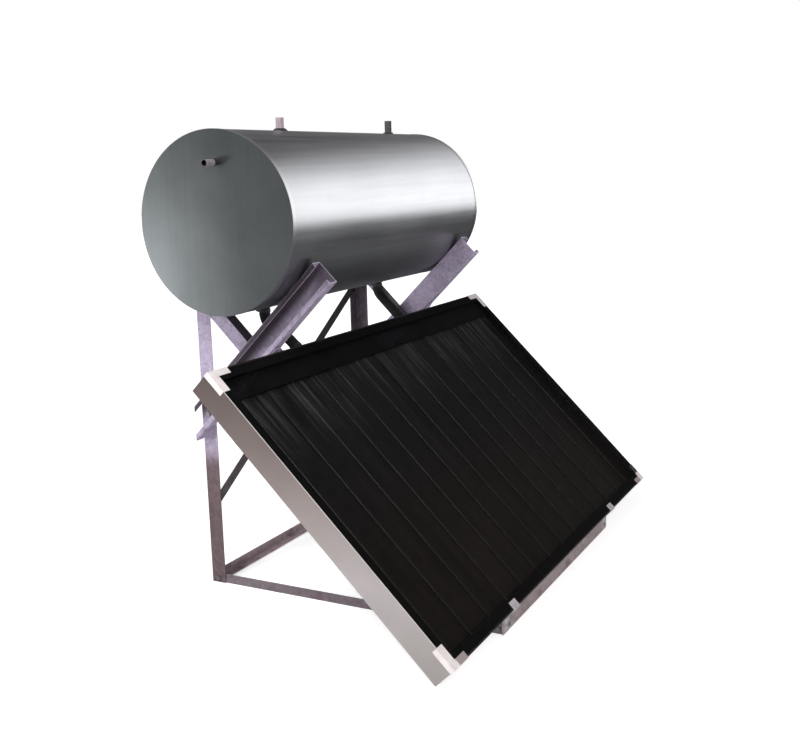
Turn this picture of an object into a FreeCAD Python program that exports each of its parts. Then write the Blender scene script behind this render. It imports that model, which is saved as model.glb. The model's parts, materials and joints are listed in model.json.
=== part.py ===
"""Thermosiphon solar water heater: flat collector, insulated tank and galvanised steel stand.

Millimetres, +Z up, +X along the tank, +Y towards the back.  The origin is on the ground, under the
middle of the bounding box.  Everything is drawn with Y = 0 at the front edge of the collector's face
and moved to the origin when it is saved.  The collector is drawn lying flat (X across, Y up the slope,
Z = 0 on its face) and then tilted.
"""
import FreeCAD, Part
import math
import os

V = FreeCAD.Vector

# ---- collector ----
COLLECTOR_W = 1800.0
COLLECTOR_L = 1000.0
COLLECTOR_H = 76.0
TILT_DEG = 45.0
FACE_LOW_Z = 80.0            # height of the face's lower edge above the ground
RAIL_WALL = 1.8
RAIL_LIP = 4.2               # top lip of the wall, from the outside
RAIL_LIP_T = 1.6
RAIL_LEDGE = 22.0            # ledge that carries the glass, from the outside
RAIL_FOOT = 18.0             # foot that carries the back sheet, from the outside
LEDGE_TOP = -8.9
LEDGE_T = 2.0
BEAD_W = 34.0
BEAD_T = 2.5
BEAD_WALL = 2.0
GLASS_T = 3.2
GLASS_EDGE = 7.0             # from the outside of the casing to the edge of the glass
SEAL_W = 15.0
BACK_T = 0.8
INSULATION_TOP = -44.0
FIN_COUNT = 14
FIN_PITCH = 126.0
FIN_GAP = 1.0
FIN_T = 0.5
RISER_R = 5.0
RISER_WALL = 0.5
RISER_DEPTH = 32.0
HEADER_R = 11.0
HEADER_WALL = 1.0
HEADER_DEPTH = 32.0
HEADER_LOW_Y = 22.0
HEADER_HIGH_Y = 940.0
COVER_LOW_Y = 903.0
COVER_HIGH_Y = 975.0
COVER_TOP = -19.0
COVER_T = 1.0
COVER_LIP = 5.0
DOWNCOMER_R = 9.0
DOWNCOMER_WALL = 1.0
DOWNCOMER_DEPTH = 52.5
DOWNCOMER_TOP_Y = 956.0
CAP_T = 1.2
CAP_SIDE = 15.0
CAP_LEG_Y = 70.0
CAP_LEG_X = 85.0
CAP_W_SIDE = 30.0
CAP_W_END = 20.0

# ---- tank ----
TANK_R = 266.0
TANK_HALF = 640.0
TANK_Y = 851.0
TANK_Z = 1163.0
JACKET_T = 0.8
COVER_RIM = 16.0
RIM_T = 1.0
VESSEL_R = 216.0
VESSEL_T = 2.0
VESSEL_HALF = 540.0          # to the seam between shell and head
HEAD_DEPTH = 60.0
NIPPLE_R = 13.2              # 3/4 inch pipe thread
NIPPLE_BORE = 10.0
NIPPLE_NECK_R = 12.0         # plain part under the thread
OUTLET_X = -280.0
OUTLET_RISE = 40.0
VENT_X = 439.0
VENT_RISE = 46.0
END_NIPPLE_R = 10.5          # 1/2 inch pipe thread
END_NIPPLE_BORE = 7.5
END_NECK_R = 9.5
END_NIPPLE_SIDE = -6.0
END_NIPPLE_UP = 172.0
END_NIPPLE_OUT = 42.0
ANODE_R = 11.0
ANODE_LEN = 600.0
ANODE_DROP = 70.0
TOP_COLLARS = ((OUTLET_X, 24.0, 16.0, 7.0), (VENT_X, 18.0, 18.0, 4.0))   # X, foot and top radius, height
PORT_COLLAR_R = 20.0
THREAD_CLEAR = 1.0           # from a collar or cover to the first thread

# ---- hoses between tank and collector ----
HOSE_R = 17.5
TAIL_R = 11.0
TAIL_BORE = 9.5
TAIL_LEN = 20.0
HOSE_LEFT_X = -412.0
HOSE_RIGHT_X = 320.0
PORT_OUT = 25.0
CLAMP_W = 10.0
CLAMP_T = 1.2

# ---- stand ----
BASE_HALF = 500.0
FRONT_Y = 31.0
REAR_Y = 1045.0
LEG = 50.0
ANGLE = 45.0
ANGLE_T = 4.0
BAR = 30.0
BAR_T = 3.0
ROOT_R = 4.0
TOE_R = 1.5
ARM_DEPTH = 80.0
ARM_FLANGE = 40.0
ARM_LIP = 15.0
ARM_T = 2.0
ARM_BEND = 4.0
ARM_TOP_END = 322.0          # front end of the front arm, along its slope
REAR_ARM_LOW = 1098.0        # lower end of the rear arm, along its slope
REAR_ARM_PAST = 45.0         # past the point where the tank rests
BRACE_W = 32.0
BRACE_LOW_Z = 252.0
BRACE_HIGH_Z = 855.0
HOOK_W = 38.0
HOOK_T = 3.0
HOOK_BEND = 2.0
HOOK_REACH = 24.0
HOOK_X = 475.0
STANDOFF_LEN = 38.0
CLEAT_LEN = 26.0
ANCHOR_X = 480.0
ANCHOR_FRONT_Y = 120.0
ANCHOR_REAR_Y = 960.0
ANCHOR_R = 5.5
RAIL_HOLE_X = 484.0
RAIL_HOLE_Z = 27.0

# ---- fasteners, M8 ----
BOLT_R = 4.0
HOLE_R = 4.5
HEAD_FLATS = 13.0
HEAD_H = 5.3
NUT_H = 6.5
THREAD_PAST = 3.0
BOSS_R = 9.0
BOSS_THREAD = 20.0

SLOPE = math.radians(TILT_DEG)
UP_SLOPE = V(0, math.cos(SLOPE), math.sin(SLOPE))
FACE_OUT = V(0, -math.sin(SLOPE), math.cos(SLOPE))
FRONT_REACH = HOOK_T * math.sqrt(2) - HOOK_BEND * (math.sqrt(2) - 1)
REAR_REACH = TANK_Y + TANK_R + RIM_T
Y_MID = (REAR_REACH - FRONT_REACH) / 2
HALF_W = COLLECTOR_W / 2
BRACE_X = BASE_HALF - LEG / 2 - 4
SIDES = (("left", -1), ("right", 1))
PORTS = ((HOSE_LEFT_X, HEADER_DEPTH), (HOSE_RIGHT_X, DOWNCOMER_DEPTH))

# The front arm rises to the front and the rear arm to the back, square to each other.  Each arm has its
# own pair of axes: along the arm, and up towards the tank.
FRONT_ALONG = V(0, -math.sqrt(0.5), math.sqrt(0.5))
FRONT_UP = V(0, math.sqrt(0.5), math.sqrt(0.5))
REAR_ALONG = FRONT_UP
REAR_UP = FRONT_ALONG
TANK_AXIS = V(0, TANK_Y, TANK_Z)
FRONT_TOP = TANK_AXIS.dot(FRONT_UP) - TANK_R
REAR_TOP = TANK_AXIS.dot(REAR_UP) - TANK_R
FRONT_REST = TANK_AXIS.dot(FRONT_ALONG)
REAR_REST = TANK_AXIS.dot(REAR_ALONG)
WEB_MIDDLE = FRONT_TOP - ARM_DEPTH / 2
REAR_WEB_MIDDLE = REAR_TOP - ANGLE / 2 - ANGLE_T / 2


# ---------------------------------------------------------------- helpers

def box(x0, x1, y0, y1, z0, z1):
    """Box between two corners."""
    return Part.makeBox(x1 - x0, y1 - y0, z1 - z0, V(x0, y0, z0))


def rod(radius, start, end):
    """Cylinder from start to end."""
    return Part.makeCylinder(radius, (end - start).Length, start, end - start)


def tube(outer, inner, start, end):
    """Straight tube from start to end."""
    return rod(outer, start, end).cut(rod(inner, start, end))


def rounded_outline(points, radii):
    """Closed wire through the points, with an arc of the given radius at each corner."""
    edges = []
    starts = []
    ends = []
    middles = []
    count = len(points)
    for i in range(count):
        before = (points[i - 1] - points[i]).normalize()
        after = (points[(i + 1) % count] - points[i]).normalize()
        half = before.getAngle(after) / 2
        reach = radii[i] / math.tan(half)
        centre = points[i] + (before + after).normalize() * (radii[i] / math.sin(half))
        starts.append(points[i] + before * reach)
        ends.append(points[i] + after * reach)
        middles.append(centre - (before + after).normalize() * radii[i])
    for i in range(count):
        if radii[i] > 0:
            edges.append(Part.Arc(starts[i], middles[i], ends[i]).toShape())
        edges.append(Part.LineSegment(ends[i], starts[(i + 1) % count]).toShape())
    return Part.Wire(edges)


def extrude(points, radii, direction):
    """Solid bar with the given outline, pushed along direction."""
    return Part.Face(rounded_outline(points, radii)).extrude(direction)


def angle_bar(corner, leg_a, leg_b, size, thickness, direction):
    """Equal angle: its outer corner, the unit directions of its two legs, and its run."""
    outline = [(0, 0), (size, 0), (size, thickness), (thickness, thickness), (thickness, size), (0, size)]
    radii = [0.5, 0.3, TOE_R, ROOT_R, TOE_R, 0.3]
    points = [corner + leg_a * a + leg_b * b for a, b in outline]
    return extrude(points, radii, direction)


def mirrored(shape):
    """The same piece on the other side of the stand."""
    return shape.mirror(V(0, 0, 0), V(1, 0, 0))


def on_side(shape, side):
    """A piece drawn for the right side, put on the side asked for."""
    return shape if side > 0 else mirrored(shape)


def tilted(shape):
    """A collector piece, from lying flat to its place on the stand."""
    placed = shape.copy()
    placed.rotate(V(0, 0, 0), V(1, 0, 0), TILT_DEG)
    placed.translate(V(0, 0, FACE_LOW_Z))
    return placed


def slope_point(x, y, z):
    """Where a point of the flat collector is on the stand."""
    return V(x, 0, FACE_LOW_Z) + UP_SLOPE * y + FACE_OUT * z


def front_point(x, along, up):
    return V(x, 0, 0) + FRONT_ALONG * along + FRONT_UP * up


def rear_point(x, along, up):
    return V(x, 0, 0) + REAR_ALONG * along + REAR_UP * up


def save(name, shape):
    """Move a finished piece to the part's origin and write it."""
    placed = shape.copy()
    placed.translate(V(0, -Y_MID, 0))
    placed.exportStep("parts/" + name + ".step")


# ---------------------------------------------------------------- fasteners

def hexagon(centre, axis, flats, height):
    """Hexagonal prism standing on centre along axis."""
    direction = V(axis).normalize()
    side = direction.cross(V(0, 0, 1))
    if side.Length < 0.1:
        side = direction.cross(V(1, 0, 0))
    side.normalize()
    other = direction.cross(side)
    radius = flats / math.sqrt(3)
    corners = []
    for i in range(6):
        turn = math.radians(60 * i)
        corners.append(centre + side * (radius * math.cos(turn)) + other * (radius * math.sin(turn)))
    return Part.Face(Part.makePolygon(corners + corners[:1])).extrude(direction * height)


def bolt_and_nut(head_face, axis, grip):
    """Hexagon bolt with its head on head_face, and its nut across the grip."""
    far_face = head_face + axis * grip
    shank = rod(BOLT_R, head_face, far_face + axis * (NUT_H + THREAD_PAST))
    bolt = hexagon(head_face, axis * -1, HEAD_FLATS, HEAD_H).fuse(shank)
    nut = hexagon(far_face, axis, HEAD_FLATS, NUT_H)
    return bolt, nut.cut(rod(BOLT_R, far_face, far_face + axis * NUT_H))


def bolt_joints():
    """Every bolted joint of the right side of the stand: head face, axis and grip."""
    inwards = V(-1, 0, 0)
    rearwards = V(0, 1, 0)
    web_out = BASE_HALF + ARM_T
    leg_mid_y = REAR_Y - LEG / 2
    arm_foot_z = WEB_MIDDLE * math.sqrt(2) - leg_mid_y
    rear_arm_z = REAR_WEB_MIDDLE * math.sqrt(2) + leg_mid_y
    crossing = front_point(web_out, REAR_WEB_MIDDLE, WEB_MIDDLE)
    bar_mid_z = BAR / 2 + BAR_T / 2
    brace_y = REAR_Y - ANGLE_T - BAR_T
    cleat_y = FRONT_Y + ANGLE_T + CLEAT_LEN / 2
    joints = [
        (V(web_out, leg_mid_y, arm_foot_z), inwards, ARM_T + ANGLE_T),
        (crossing, inwards, ARM_T + 2 * ANGLE_T),
        (V(BASE_HALF, leg_mid_y, rear_arm_z), inwards, 2 * ANGLE_T),
        (V(BASE_HALF, leg_mid_y, bar_mid_z), inwards, ANGLE_T + BAR_T),
        (V(BRACE_X, brace_y, BAR_T + bar_mid_z + 2), rearwards, ANGLE_T + BAR_T),
        (V(BASE_HALF - ANGLE_T, cleat_y, bar_mid_z), inwards, 2 * BAR_T),
        (V(HOOK_X - HOOK_W / 2 + 9, FRONT_Y, RAIL_HOLE_Z - 5), rearwards, ANGLE_T),
    ]
    return joints


def brace_joints():
    """The two bolts that hold the ends of the brace to the rear legs."""
    brace_y = REAR_Y - ANGLE_T - BAR_T
    ends = [V(-BRACE_X, brace_y, BRACE_LOW_Z), V(BRACE_X, brace_y, BRACE_HIGH_Z)]
    return [(end, V(0, 1, 0), ANGLE_T + BAR_T) for end in ends]


def tank_joints():
    """Bolts that go up through the right arms into the tank's bosses."""
    front = front_point(BASE_HALF + ARM_FLANGE / 2, FRONT_REST, FRONT_TOP - ARM_T)
    rear = rear_point(BASE_HALF - ANGLE_T - ANGLE / 2, REAR_REST, REAR_TOP - ANGLE_T)
    return [(front, FRONT_UP, ARM_T), (rear, REAR_UP, ANGLE_T)]


def drill_holes():
    """Clearance holes for every bolt of the stand."""
    holes = []
    for face, axis, grip in bolt_joints() + tank_joints():
        hole = rod(HOLE_R, face - axis, face + axis * (grip + 1))
        holes.append(hole)
        holes.append(mirrored(hole))
    for face, axis, grip in brace_joints():
        holes.append(rod(HOLE_R, face - axis, face + axis * (grip + 1)))
    return Part.makeCompound(holes)


def frame_fasteners():
    """All bolts, and all nuts, of the stand."""
    bolts = []
    nuts = []
    for face, axis, grip in bolt_joints():
        bolt, nut = bolt_and_nut(face, axis, grip)
        bolts += [bolt, mirrored(bolt)]
        nuts += [nut, mirrored(nut)]
    for face, axis, grip in brace_joints():
        bolt, nut = bolt_and_nut(face, axis, grip)
        bolts.append(bolt)
        nuts.append(nut)
    return Part.makeCompound(bolts), Part.makeCompound(nuts)


def tank_fasteners():
    """The four bolts that hold the tank to its arms."""
    bolts = []
    for face, axis, grip in tank_joints():
        shank = rod(BOLT_R, face, face + axis * (grip + JACKET_T + BOSS_THREAD))
        bolt = hexagon(face, axis * -1, HEAD_FLATS, HEAD_H).fuse(shank)
        bolts += [bolt, mirrored(bolt)]
    return Part.makeCompound(bolts)


# ---------------------------------------------------------------- stand

def rear_leg(holes):
    """Right rear leg, with its top cut to the slope of the rear arm."""
    corner = V(BASE_HALF, REAR_Y, 0)
    top = REAR_Y + REAR_TOP * math.sqrt(2)
    leg = angle_bar(corner, V(-1, 0, 0), V(0, -1, 0), LEG, ANGLE_T, V(0, 0, top))
    above = [rear_point(0, 0, REAR_TOP), rear_point(0, 3000, REAR_TOP)]
    above += [rear_point(0, 3000, REAR_TOP + 200), rear_point(0, 0, REAR_TOP + 200)]
    slope_cut = Part.Face(Part.makePolygon(above + above[:1])).extrude(V(BASE_HALF + 10, 0, 0))
    arm_underside = REAR_Y - ANGLE_T + (REAR_TOP - ANGLE) * math.sqrt(2)
    notch = box(0, BASE_HALF - ANGLE_T, REAR_Y - LEG, REAR_Y + 1, arm_underside - 6, top + 1)
    return leg.cut(slope_cut).cut(notch).cut(holes)


def base_side_bar(holes):
    """Right base bar, inside the leg and behind the front rail, with its two anchor holes."""
    start = FRONT_Y + ANGLE_T
    corner = V(BASE_HALF - ANGLE_T, start, 0)
    run = V(0, REAR_Y - ANGLE_T - start, 0)
    bar = angle_bar(corner, V(-1, 0, 0), V(0, 0, 1), BAR, BAR_T, run)
    for y in (ANCHOR_FRONT_Y, ANCHOR_REAR_Y):
        bar = bar.cut(rod(ANCHOR_R, V(ANCHOR_X, y, -1), V(ANCHOR_X, y, BAR_T + 1)))
    return bar.cut(holes)


def base_rear_bar(holes):
    """Rear base bar, resting on the side bars."""
    half = BASE_HALF - ANGLE_T - BAR_T
    corner = V(-half, REAR_Y - ANGLE_T, BAR_T)
    return angle_bar(corner, V(0, -1, 0), V(0, 0, 1), BAR, BAR_T, V(2 * half, 0, 0)).cut(holes)


def front_rail(holes):
    """Front rail: the collector's lower edge rests on its upright leg."""
    corner = V(-BASE_HALF, FRONT_Y, 0)
    rail = angle_bar(corner, V(0, 1, 0), V(0, 0, 1), ANGLE, ANGLE_T, V(2 * BASE_HALF, 0, 0))
    end = BASE_HALF - ANGLE_T - BAR
    for side in (-1, 1):
        inner, outer = sorted((side * end, side * (BASE_HALF + 1)))
        rail = rail.cut(box(inner, outer, FRONT_Y + ANGLE_T, FRONT_Y + ANGLE + 1, -1, ANGLE + 1))
        hole_x = side * RAIL_HOLE_X
        start = V(hole_x, FRONT_Y - 1, RAIL_HOLE_Z)
        rail = rail.cut(rod(ANCHOR_R, start, start + V(0, ANGLE_T + 2, 0)))
    return rail.cut(holes)


def corner_cleat(holes):
    """Right corner cleat between the front rail and the side bar."""
    corner = V(BASE_HALF - ANGLE_T - BAR_T, FRONT_Y + ANGLE_T, BAR_T)
    cleat = angle_bar(corner, V(-1, 0, 0), V(0, 1, 0), CLEAT_LEN, BAR_T, V(0, 0, BAR - BAR_T))
    hole = V(RAIL_HOLE_X, FRONT_Y, RAIL_HOLE_Z)
    return cleat.cut(rod(ANCHOR_R, hole, hole + V(0, 2 * ANGLE_T, 0))).cut(holes)


def front_arm(holes):
    """Right front arm: a lipped channel, open to the outside, that carries the tank's front."""
    flange = ARM_FLANGE
    outline = [
        (0, 0), (flange, 0), (flange, ARM_LIP), (flange - ARM_T, ARM_LIP),
        (flange - ARM_T, ARM_T), (ARM_T, ARM_T), (ARM_T, ARM_DEPTH - ARM_T),
        (flange - ARM_T, ARM_DEPTH - ARM_T), (flange - ARM_T, ARM_DEPTH - ARM_LIP),
        (flange, ARM_DEPTH - ARM_LIP), (flange, ARM_DEPTH), (0, ARM_DEPTH),
    ]
    outer = ARM_BEND
    inner = ARM_BEND - ARM_T
    radii = [outer, outer, 0.4, 0.4, inner, inner, inner, inner, 0.4, 0.4, outer, outer]
    low_end = -900.0
    points = [front_point(BASE_HALF + a, low_end, FRONT_TOP - b) for a, b in outline]
    arm = extrude(points, radii, FRONT_ALONG * (ARM_TOP_END - low_end))
    behind_leg = box(0, BASE_HALF + flange + 1, REAR_Y, REAR_Y + 900, -400, 900)
    return arm.cut(behind_leg).cut(holes)


def rear_arm(holes):
    """Right rear arm: an angle whose upper leg carries the tank's back."""
    corner = rear_point(BASE_HALF - ANGLE_T, REAR_ARM_LOW, REAR_TOP)
    run = REAR_ALONG * (REAR_REST + REAR_ARM_PAST - REAR_ARM_LOW)
    return angle_bar(corner, V(-1, 0, 0), REAR_UP * -1, ANGLE, ANGLE_T, run).cut(holes)


def cradle_spacer(holes):
    """Right packing plate between the crossing arms."""
    half = ANGLE / 2 - 3
    corners = []
    for along, up in ((-half, -half), (half, -half), (half, half), (-half, half)):
        corners.append(front_point(BASE_HALF - ANGLE_T, REAR_WEB_MIDDLE + along, WEB_MIDDLE + up))
    return extrude(corners, [3.0] * 4, V(ANGLE_T, 0, 0)).cut(holes)


def cross_brace(holes):
    """Flat diagonal brace between the rear legs."""
    y = REAR_Y - ANGLE_T - BAR_T
    low = V(-BRACE_X, y, BRACE_LOW_Z)
    high = V(BRACE_X, y, BRACE_HIGH_Z)
    along = (high - low).normalize()
    across = V(-along.z, 0, along.x) * (BRACE_W / 2)
    end = along * 14
    points = [low - end - across, high + end - across, high + end + across, low - end + across]
    return extrude(points, [3.0] * 4, V(0, BAR_T, 0)).cut(holes)


def collector_hook(holes):
    """Right hook: bolted to the front rail and bent over the collector's lower edge."""
    x0 = HOOK_X - HOOK_W / 2
    rail_top = FACE_LOW_Z - FRONT_Y
    inner = [V(x0, FRONT_Y, 8), V(x0, FRONT_Y, rail_top), slope_point(x0, 0, 0)]
    inner.append(slope_point(x0, HOOK_REACH, 0))
    bend = HOOK_T * math.tan(SLOPE / 2)
    outer = [slope_point(x0, HOOK_REACH, HOOK_T), slope_point(x0, -HOOK_T, HOOK_T)]
    outer += [V(x0, FRONT_Y - HOOK_T, rail_top - bend), V(x0, FRONT_Y - HOOK_T, 8)]
    radii = [0.0, 1.0, 0.0, 0.0, 0.8, HOOK_BEND, 4.0, 0.8]
    return extrude(inner + outer, radii, V(HOOK_W, 0, 0)).cut(holes)


def collector_standoff():
    """Right standoff: a bent channel between the front arm and the collector's top rail."""
    arm_face = FRONT_TOP - ARM_DEPTH
    rail_face = slope_point(0, COLLECTOR_L, 0).dot(FRONT_UP)
    middle = slope_point(0, 0, -COLLECTOR_H / 2).dot(FRONT_ALONG)
    gauge = 3.0
    height = arm_face - rail_face
    half = STANDOFF_LEN / 2
    x0 = BASE_HALF + ARM_BEND
    x1 = BASE_HALF + ARM_FLANGE - ARM_BEND
    outline = [
        (x0, 0), (x1, 0), (x1, gauge), (x0 + gauge, gauge),
        (x0 + gauge, height - gauge), (x1, height - gauge), (x1, height), (x0, height),
    ]
    radii = [3.0, 0.5, 0.5, 1.0, 1.0, 0.5, 0.5, 3.0]
    points = [front_point(x, middle - half, rail_face + up) for x, up in outline]
    return extrude(points, radii, FRONT_ALONG * STANDOFF_LEN)


# ---------------------------------------------------------------- collector casing

def edge_side(profile, radii, width, length, inset):
    """One mitred side of a frame: profile is (in from the edge, height), the side lies along X."""
    half = width / 2
    points = [V(-half, a, z) for a, z in profile]
    bar = extrude(points, radii, V(width, 0, 0))
    reach = inset + 1
    plan = [V(-half, 0, -COLLECTOR_H - 1), V(half, 0, -COLLECTOR_H - 1)]
    plan += [V(half - reach, reach, -COLLECTOR_H - 1), V(-half + reach, reach, -COLLECTOR_H - 1)]
    mitre = Part.Face(Part.makePolygon(plan + plan[:1])).extrude(V(0, 0, COLLECTOR_H + 2))
    return bar.common(mitre)


def frame_sides(profile, radii, inset):
    """Four mitred sides around the collector, by name."""
    long_side = edge_side(profile, radii, COLLECTOR_W, COLLECTOR_L, inset)
    short_side = edge_side(profile, radii, COLLECTOR_L, COLLECTOR_W, inset)
    top = long_side.mirror(V(0, COLLECTOR_L / 2, 0), V(0, 1, 0))
    left = short_side.copy()
    left.rotate(V(0, 0, 0), V(0, 0, 1), -90)
    left.translate(V(-HALF_W, COLLECTOR_L / 2, 0))
    return {"bottom": long_side, "top": top, "left": left, "right": mirrored(left)}


def casing_rails():
    """Aluminium rails: a lipped wall with a ledge for the glass and a foot for the back sheet."""
    foot_top = -COLLECTOR_H + 1.6
    ledge_low = LEDGE_TOP - LEDGE_T
    profile = [
        (0, 0), (RAIL_LIP, 0), (RAIL_LIP, -RAIL_LIP_T), (RAIL_WALL, -RAIL_LIP_T),
        (RAIL_WALL, LEDGE_TOP), (RAIL_LEDGE, LEDGE_TOP),
        (RAIL_LEDGE, ledge_low), (RAIL_WALL, ledge_low), (RAIL_WALL, foot_top),
        (RAIL_FOOT, foot_top), (RAIL_FOOT, -COLLECTOR_H), (0, -COLLECTOR_H),
    ]
    radii = [0.6, 0.3, 0.3, 0, 0, 0.5, 0.5, 0, 0, 0.5, 0.5, 1.2]
    return frame_sides(profile, radii, RAIL_LEDGE)


def glazing_beads():
    """Black beads that hold the glass down, clipped inside the rails."""
    profile = [
        (RAIL_LIP, 0), (BEAD_W, 0), (BEAD_W, -BEAD_T), (RAIL_LIP + BEAD_WALL, -BEAD_T),
        (RAIL_LIP + BEAD_WALL, LEDGE_TOP), (RAIL_LIP, LEDGE_TOP),
    ]
    radii = [0.3, 1.6, 0.4, 0, 0.2, 0.2]
    return frame_sides(profile, radii, BEAD_W)


def panel(edge, z0, z1):
    """Flat sheet inside the casing, a given distance in from its outside."""
    return box(-HALF_W + edge, HALF_W - edge, edge, COLLECTOR_L - edge, z0, z1)


def glass_seal():
    """Soft ring between the ledge and the glass."""
    top = -BEAD_T - GLASS_T
    return panel(GLASS_EDGE, LEDGE_TOP, top).cut(panel(GLASS_EDGE + SEAL_W, LEDGE_TOP - 1, top + 1))


def corner_cap(side, at_top):
    """L-shaped cap over one corner of the casing."""
    plate = box(HALF_W - CAP_W_SIDE, HALF_W + CAP_T, -CAP_T, CAP_LEG_Y, 0, CAP_T)
    plate = plate.fuse(box(HALF_W - CAP_LEG_X, HALF_W + CAP_T, -CAP_T, CAP_W_END, 0, CAP_T))
    plate = plate.fuse(box(HALF_W, HALF_W + CAP_T, -CAP_T, CAP_LEG_Y, -CAP_SIDE, CAP_T))
    plate = plate.fuse(box(HALF_W - CAP_LEG_X, HALF_W + CAP_T, -CAP_T, 0, -CAP_SIDE, CAP_T))
    cap = plate.removeSplitter()
    outer = []
    for edge in cap.Edges:
        middle = edge.BoundBox.Center
        on_top_edge = abs(middle.z - CAP_T) < 0.01 and edge.BoundBox.ZLength < 0.01
        outside = abs(middle.x - HALF_W - CAP_T) < 0.01 or abs(middle.y + CAP_T) < 0.01
        upright = edge.BoundBox.ZLength > CAP_SIDE and middle.x > HALF_W and middle.y < 0
        if (on_top_edge and outside) or upright:
            outer.append(edge)
    cap = cap.makeFillet(0.9, outer)
    if at_top:
        cap = cap.mirror(V(0, COLLECTOR_L / 2, 0), V(0, 1, 0))
    return on_side(cap, side)


# ---------------------------------------------------------------- absorber

def fin_positions():
    """Middle of each fin, from left to right."""
    first = -FIN_PITCH * (FIN_COUNT - 1) / 2
    return [first + FIN_PITCH * i for i in range(FIN_COUNT)]


def absorber_fin(x):
    """Thin sheet wrapped over the upper half of its riser."""
    low = HEADER_LOW_Y + HEADER_R + 3
    high = HEADER_HIGH_Y - HEADER_R - 3
    half = (FIN_PITCH - FIN_GAP) / 2
    start = V(x, low, -RISER_DEPTH)
    end = V(x, high, -RISER_DEPTH)
    sheet = box(x - half, x + half, low, high, -RISER_DEPTH, -RISER_DEPTH + FIN_T)
    wrap = rod(RISER_R + FIN_T, start, end)
    below = box(x - half, x + half, low - 1, high + 1, -RISER_DEPTH - 2 * RISER_R, -RISER_DEPTH)
    return sheet.fuse(wrap).cut(below).cut(rod(RISER_R, start, end)).removeSplitter()


def header_axis(y):
    """The two ends of a header's centre line."""
    half = FIN_PITCH * FIN_COUNT / 2
    return V(-half, y, -HEADER_DEPTH), V(half, y, -HEADER_DEPTH)


def riser_line(x):
    """Centre line of a riser, from header to header."""
    return V(x, HEADER_LOW_Y, -RISER_DEPTH), V(x, HEADER_HIGH_Y, -RISER_DEPTH)


def riser(x):
    """Tube between the headers, cut to their round sides."""
    start, end = riser_line(x)
    pipe = tube(RISER_R, RISER_R - RISER_WALL, start, end)
    for y in (HEADER_LOW_Y, HEADER_HIGH_Y):
        pipe = pipe.cut(rod(HEADER_R, *header_axis(y)))
    return pipe


def header(y):
    """Closed header tube with a hole for each riser."""
    start, end = header_axis(y)
    cap = V(HEADER_WALL, 0, 0)
    pipe = rod(HEADER_R, start, end).cut(rod(HEADER_R - HEADER_WALL, start + cap, end - cap))
    for x in fin_positions():
        low, high = riser_line(x)
        pipe = pipe.cut(rod(RISER_R - RISER_WALL, low, high))
    return pipe


def port_end(x, depth):
    """Outer end of a port, on its centre line."""
    return V(x, COLLECTOR_L + PORT_OUT, -depth)


def hot_port():
    """Left port: from the top header out through the top rail."""
    start = V(HOSE_LEFT_X, HEADER_HIGH_Y, -HEADER_DEPTH)
    pipe = tube(TAIL_R, TAIL_BORE, start, port_end(HOSE_LEFT_X, HEADER_DEPTH))
    return pipe.cut(rod(HEADER_R, *header_axis(HEADER_HIGH_Y)))


def cold_port():
    """Right port: it passes under the top header and carries on as the downcomer."""
    start = V(HOSE_RIGHT_X, DOWNCOMER_TOP_Y, -DOWNCOMER_DEPTH)
    return tube(TAIL_R, DOWNCOMER_R, start, port_end(HOSE_RIGHT_X, DOWNCOMER_DEPTH))


def downcomer_line():
    """Centre line of the downcomer, from inside the cold port to under the bottom header."""
    start = V(HOSE_RIGHT_X, COLLECTOR_L, -DOWNCOMER_DEPTH)
    return start, V(HOSE_RIGHT_X, HEADER_LOW_Y - DOWNCOMER_R, -DOWNCOMER_DEPTH)


def downcomer():
    """Pipe in the insulation that takes cold water down to the bottom header."""
    start, end = downcomer_line()
    cap = V(0, DOWNCOMER_WALL, 0)
    foot = V(HOSE_RIGHT_X, HEADER_LOW_Y, -DOWNCOMER_DEPTH)
    rise = V(0, 0, DOWNCOMER_DEPTH - HEADER_DEPTH)
    inner = DOWNCOMER_R - DOWNCOMER_WALL
    pipe = rod(DOWNCOMER_R, start, end).fuse(rod(DOWNCOMER_R - 1, foot, foot + rise))
    pipe = pipe.cut(rod(inner, start, end + cap)).cut(rod(inner - 1, foot, foot + rise))
    return pipe.cut(rod(HEADER_R, *header_axis(HEADER_LOW_Y)))


def port_grommet(x, depth):
    """Rubber ring where a port goes through the top rail."""
    web_in = V(x, COLLECTOR_L - RAIL_WALL, -depth)
    web_out = V(x, COLLECTOR_L, -depth)
    neck = tube(TAIL_R + 3, TAIL_R, web_in, web_out)
    return neck.fuse(tube(TAIL_R + 6, TAIL_R, web_out, web_out + V(0, 2.5, 0)))


def top_header():
    """Top header with the opening of the hot port."""
    start = V(HOSE_LEFT_X, HEADER_HIGH_Y, -HEADER_DEPTH)
    return header(HEADER_HIGH_Y).cut(rod(TAIL_BORE - 1, start, port_end(HOSE_LEFT_X, HEADER_DEPTH)))


def bottom_header():
    """Bottom header with the opening of the downcomer."""
    foot = V(HOSE_RIGHT_X, HEADER_LOW_Y, -DOWNCOMER_DEPTH)
    opening = rod(DOWNCOMER_R - 3, foot, V(HOSE_RIGHT_X, HEADER_LOW_Y, -HEADER_DEPTH))
    return header(HEADER_LOW_Y).cut(opening)


def insulation_board(back_top):
    """Wool board with the channel of the cold port and the downcomer."""
    board = panel(RAIL_WALL + 0.5, back_top, INSULATION_TOP)
    start, end = downcomer_line()
    channel = rod(DOWNCOMER_R, start, end)
    passage = rod(TAIL_R, V(HOSE_RIGHT_X, DOWNCOMER_TOP_Y, -DOWNCOMER_DEPTH), start)
    slot = box(HOSE_RIGHT_X - 4, HOSE_RIGHT_X + 4, end.y, start.y, -DOWNCOMER_DEPTH, 0)
    return board.cut(channel).cut(passage).cut(slot.cut(channel).cut(passage))


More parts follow.
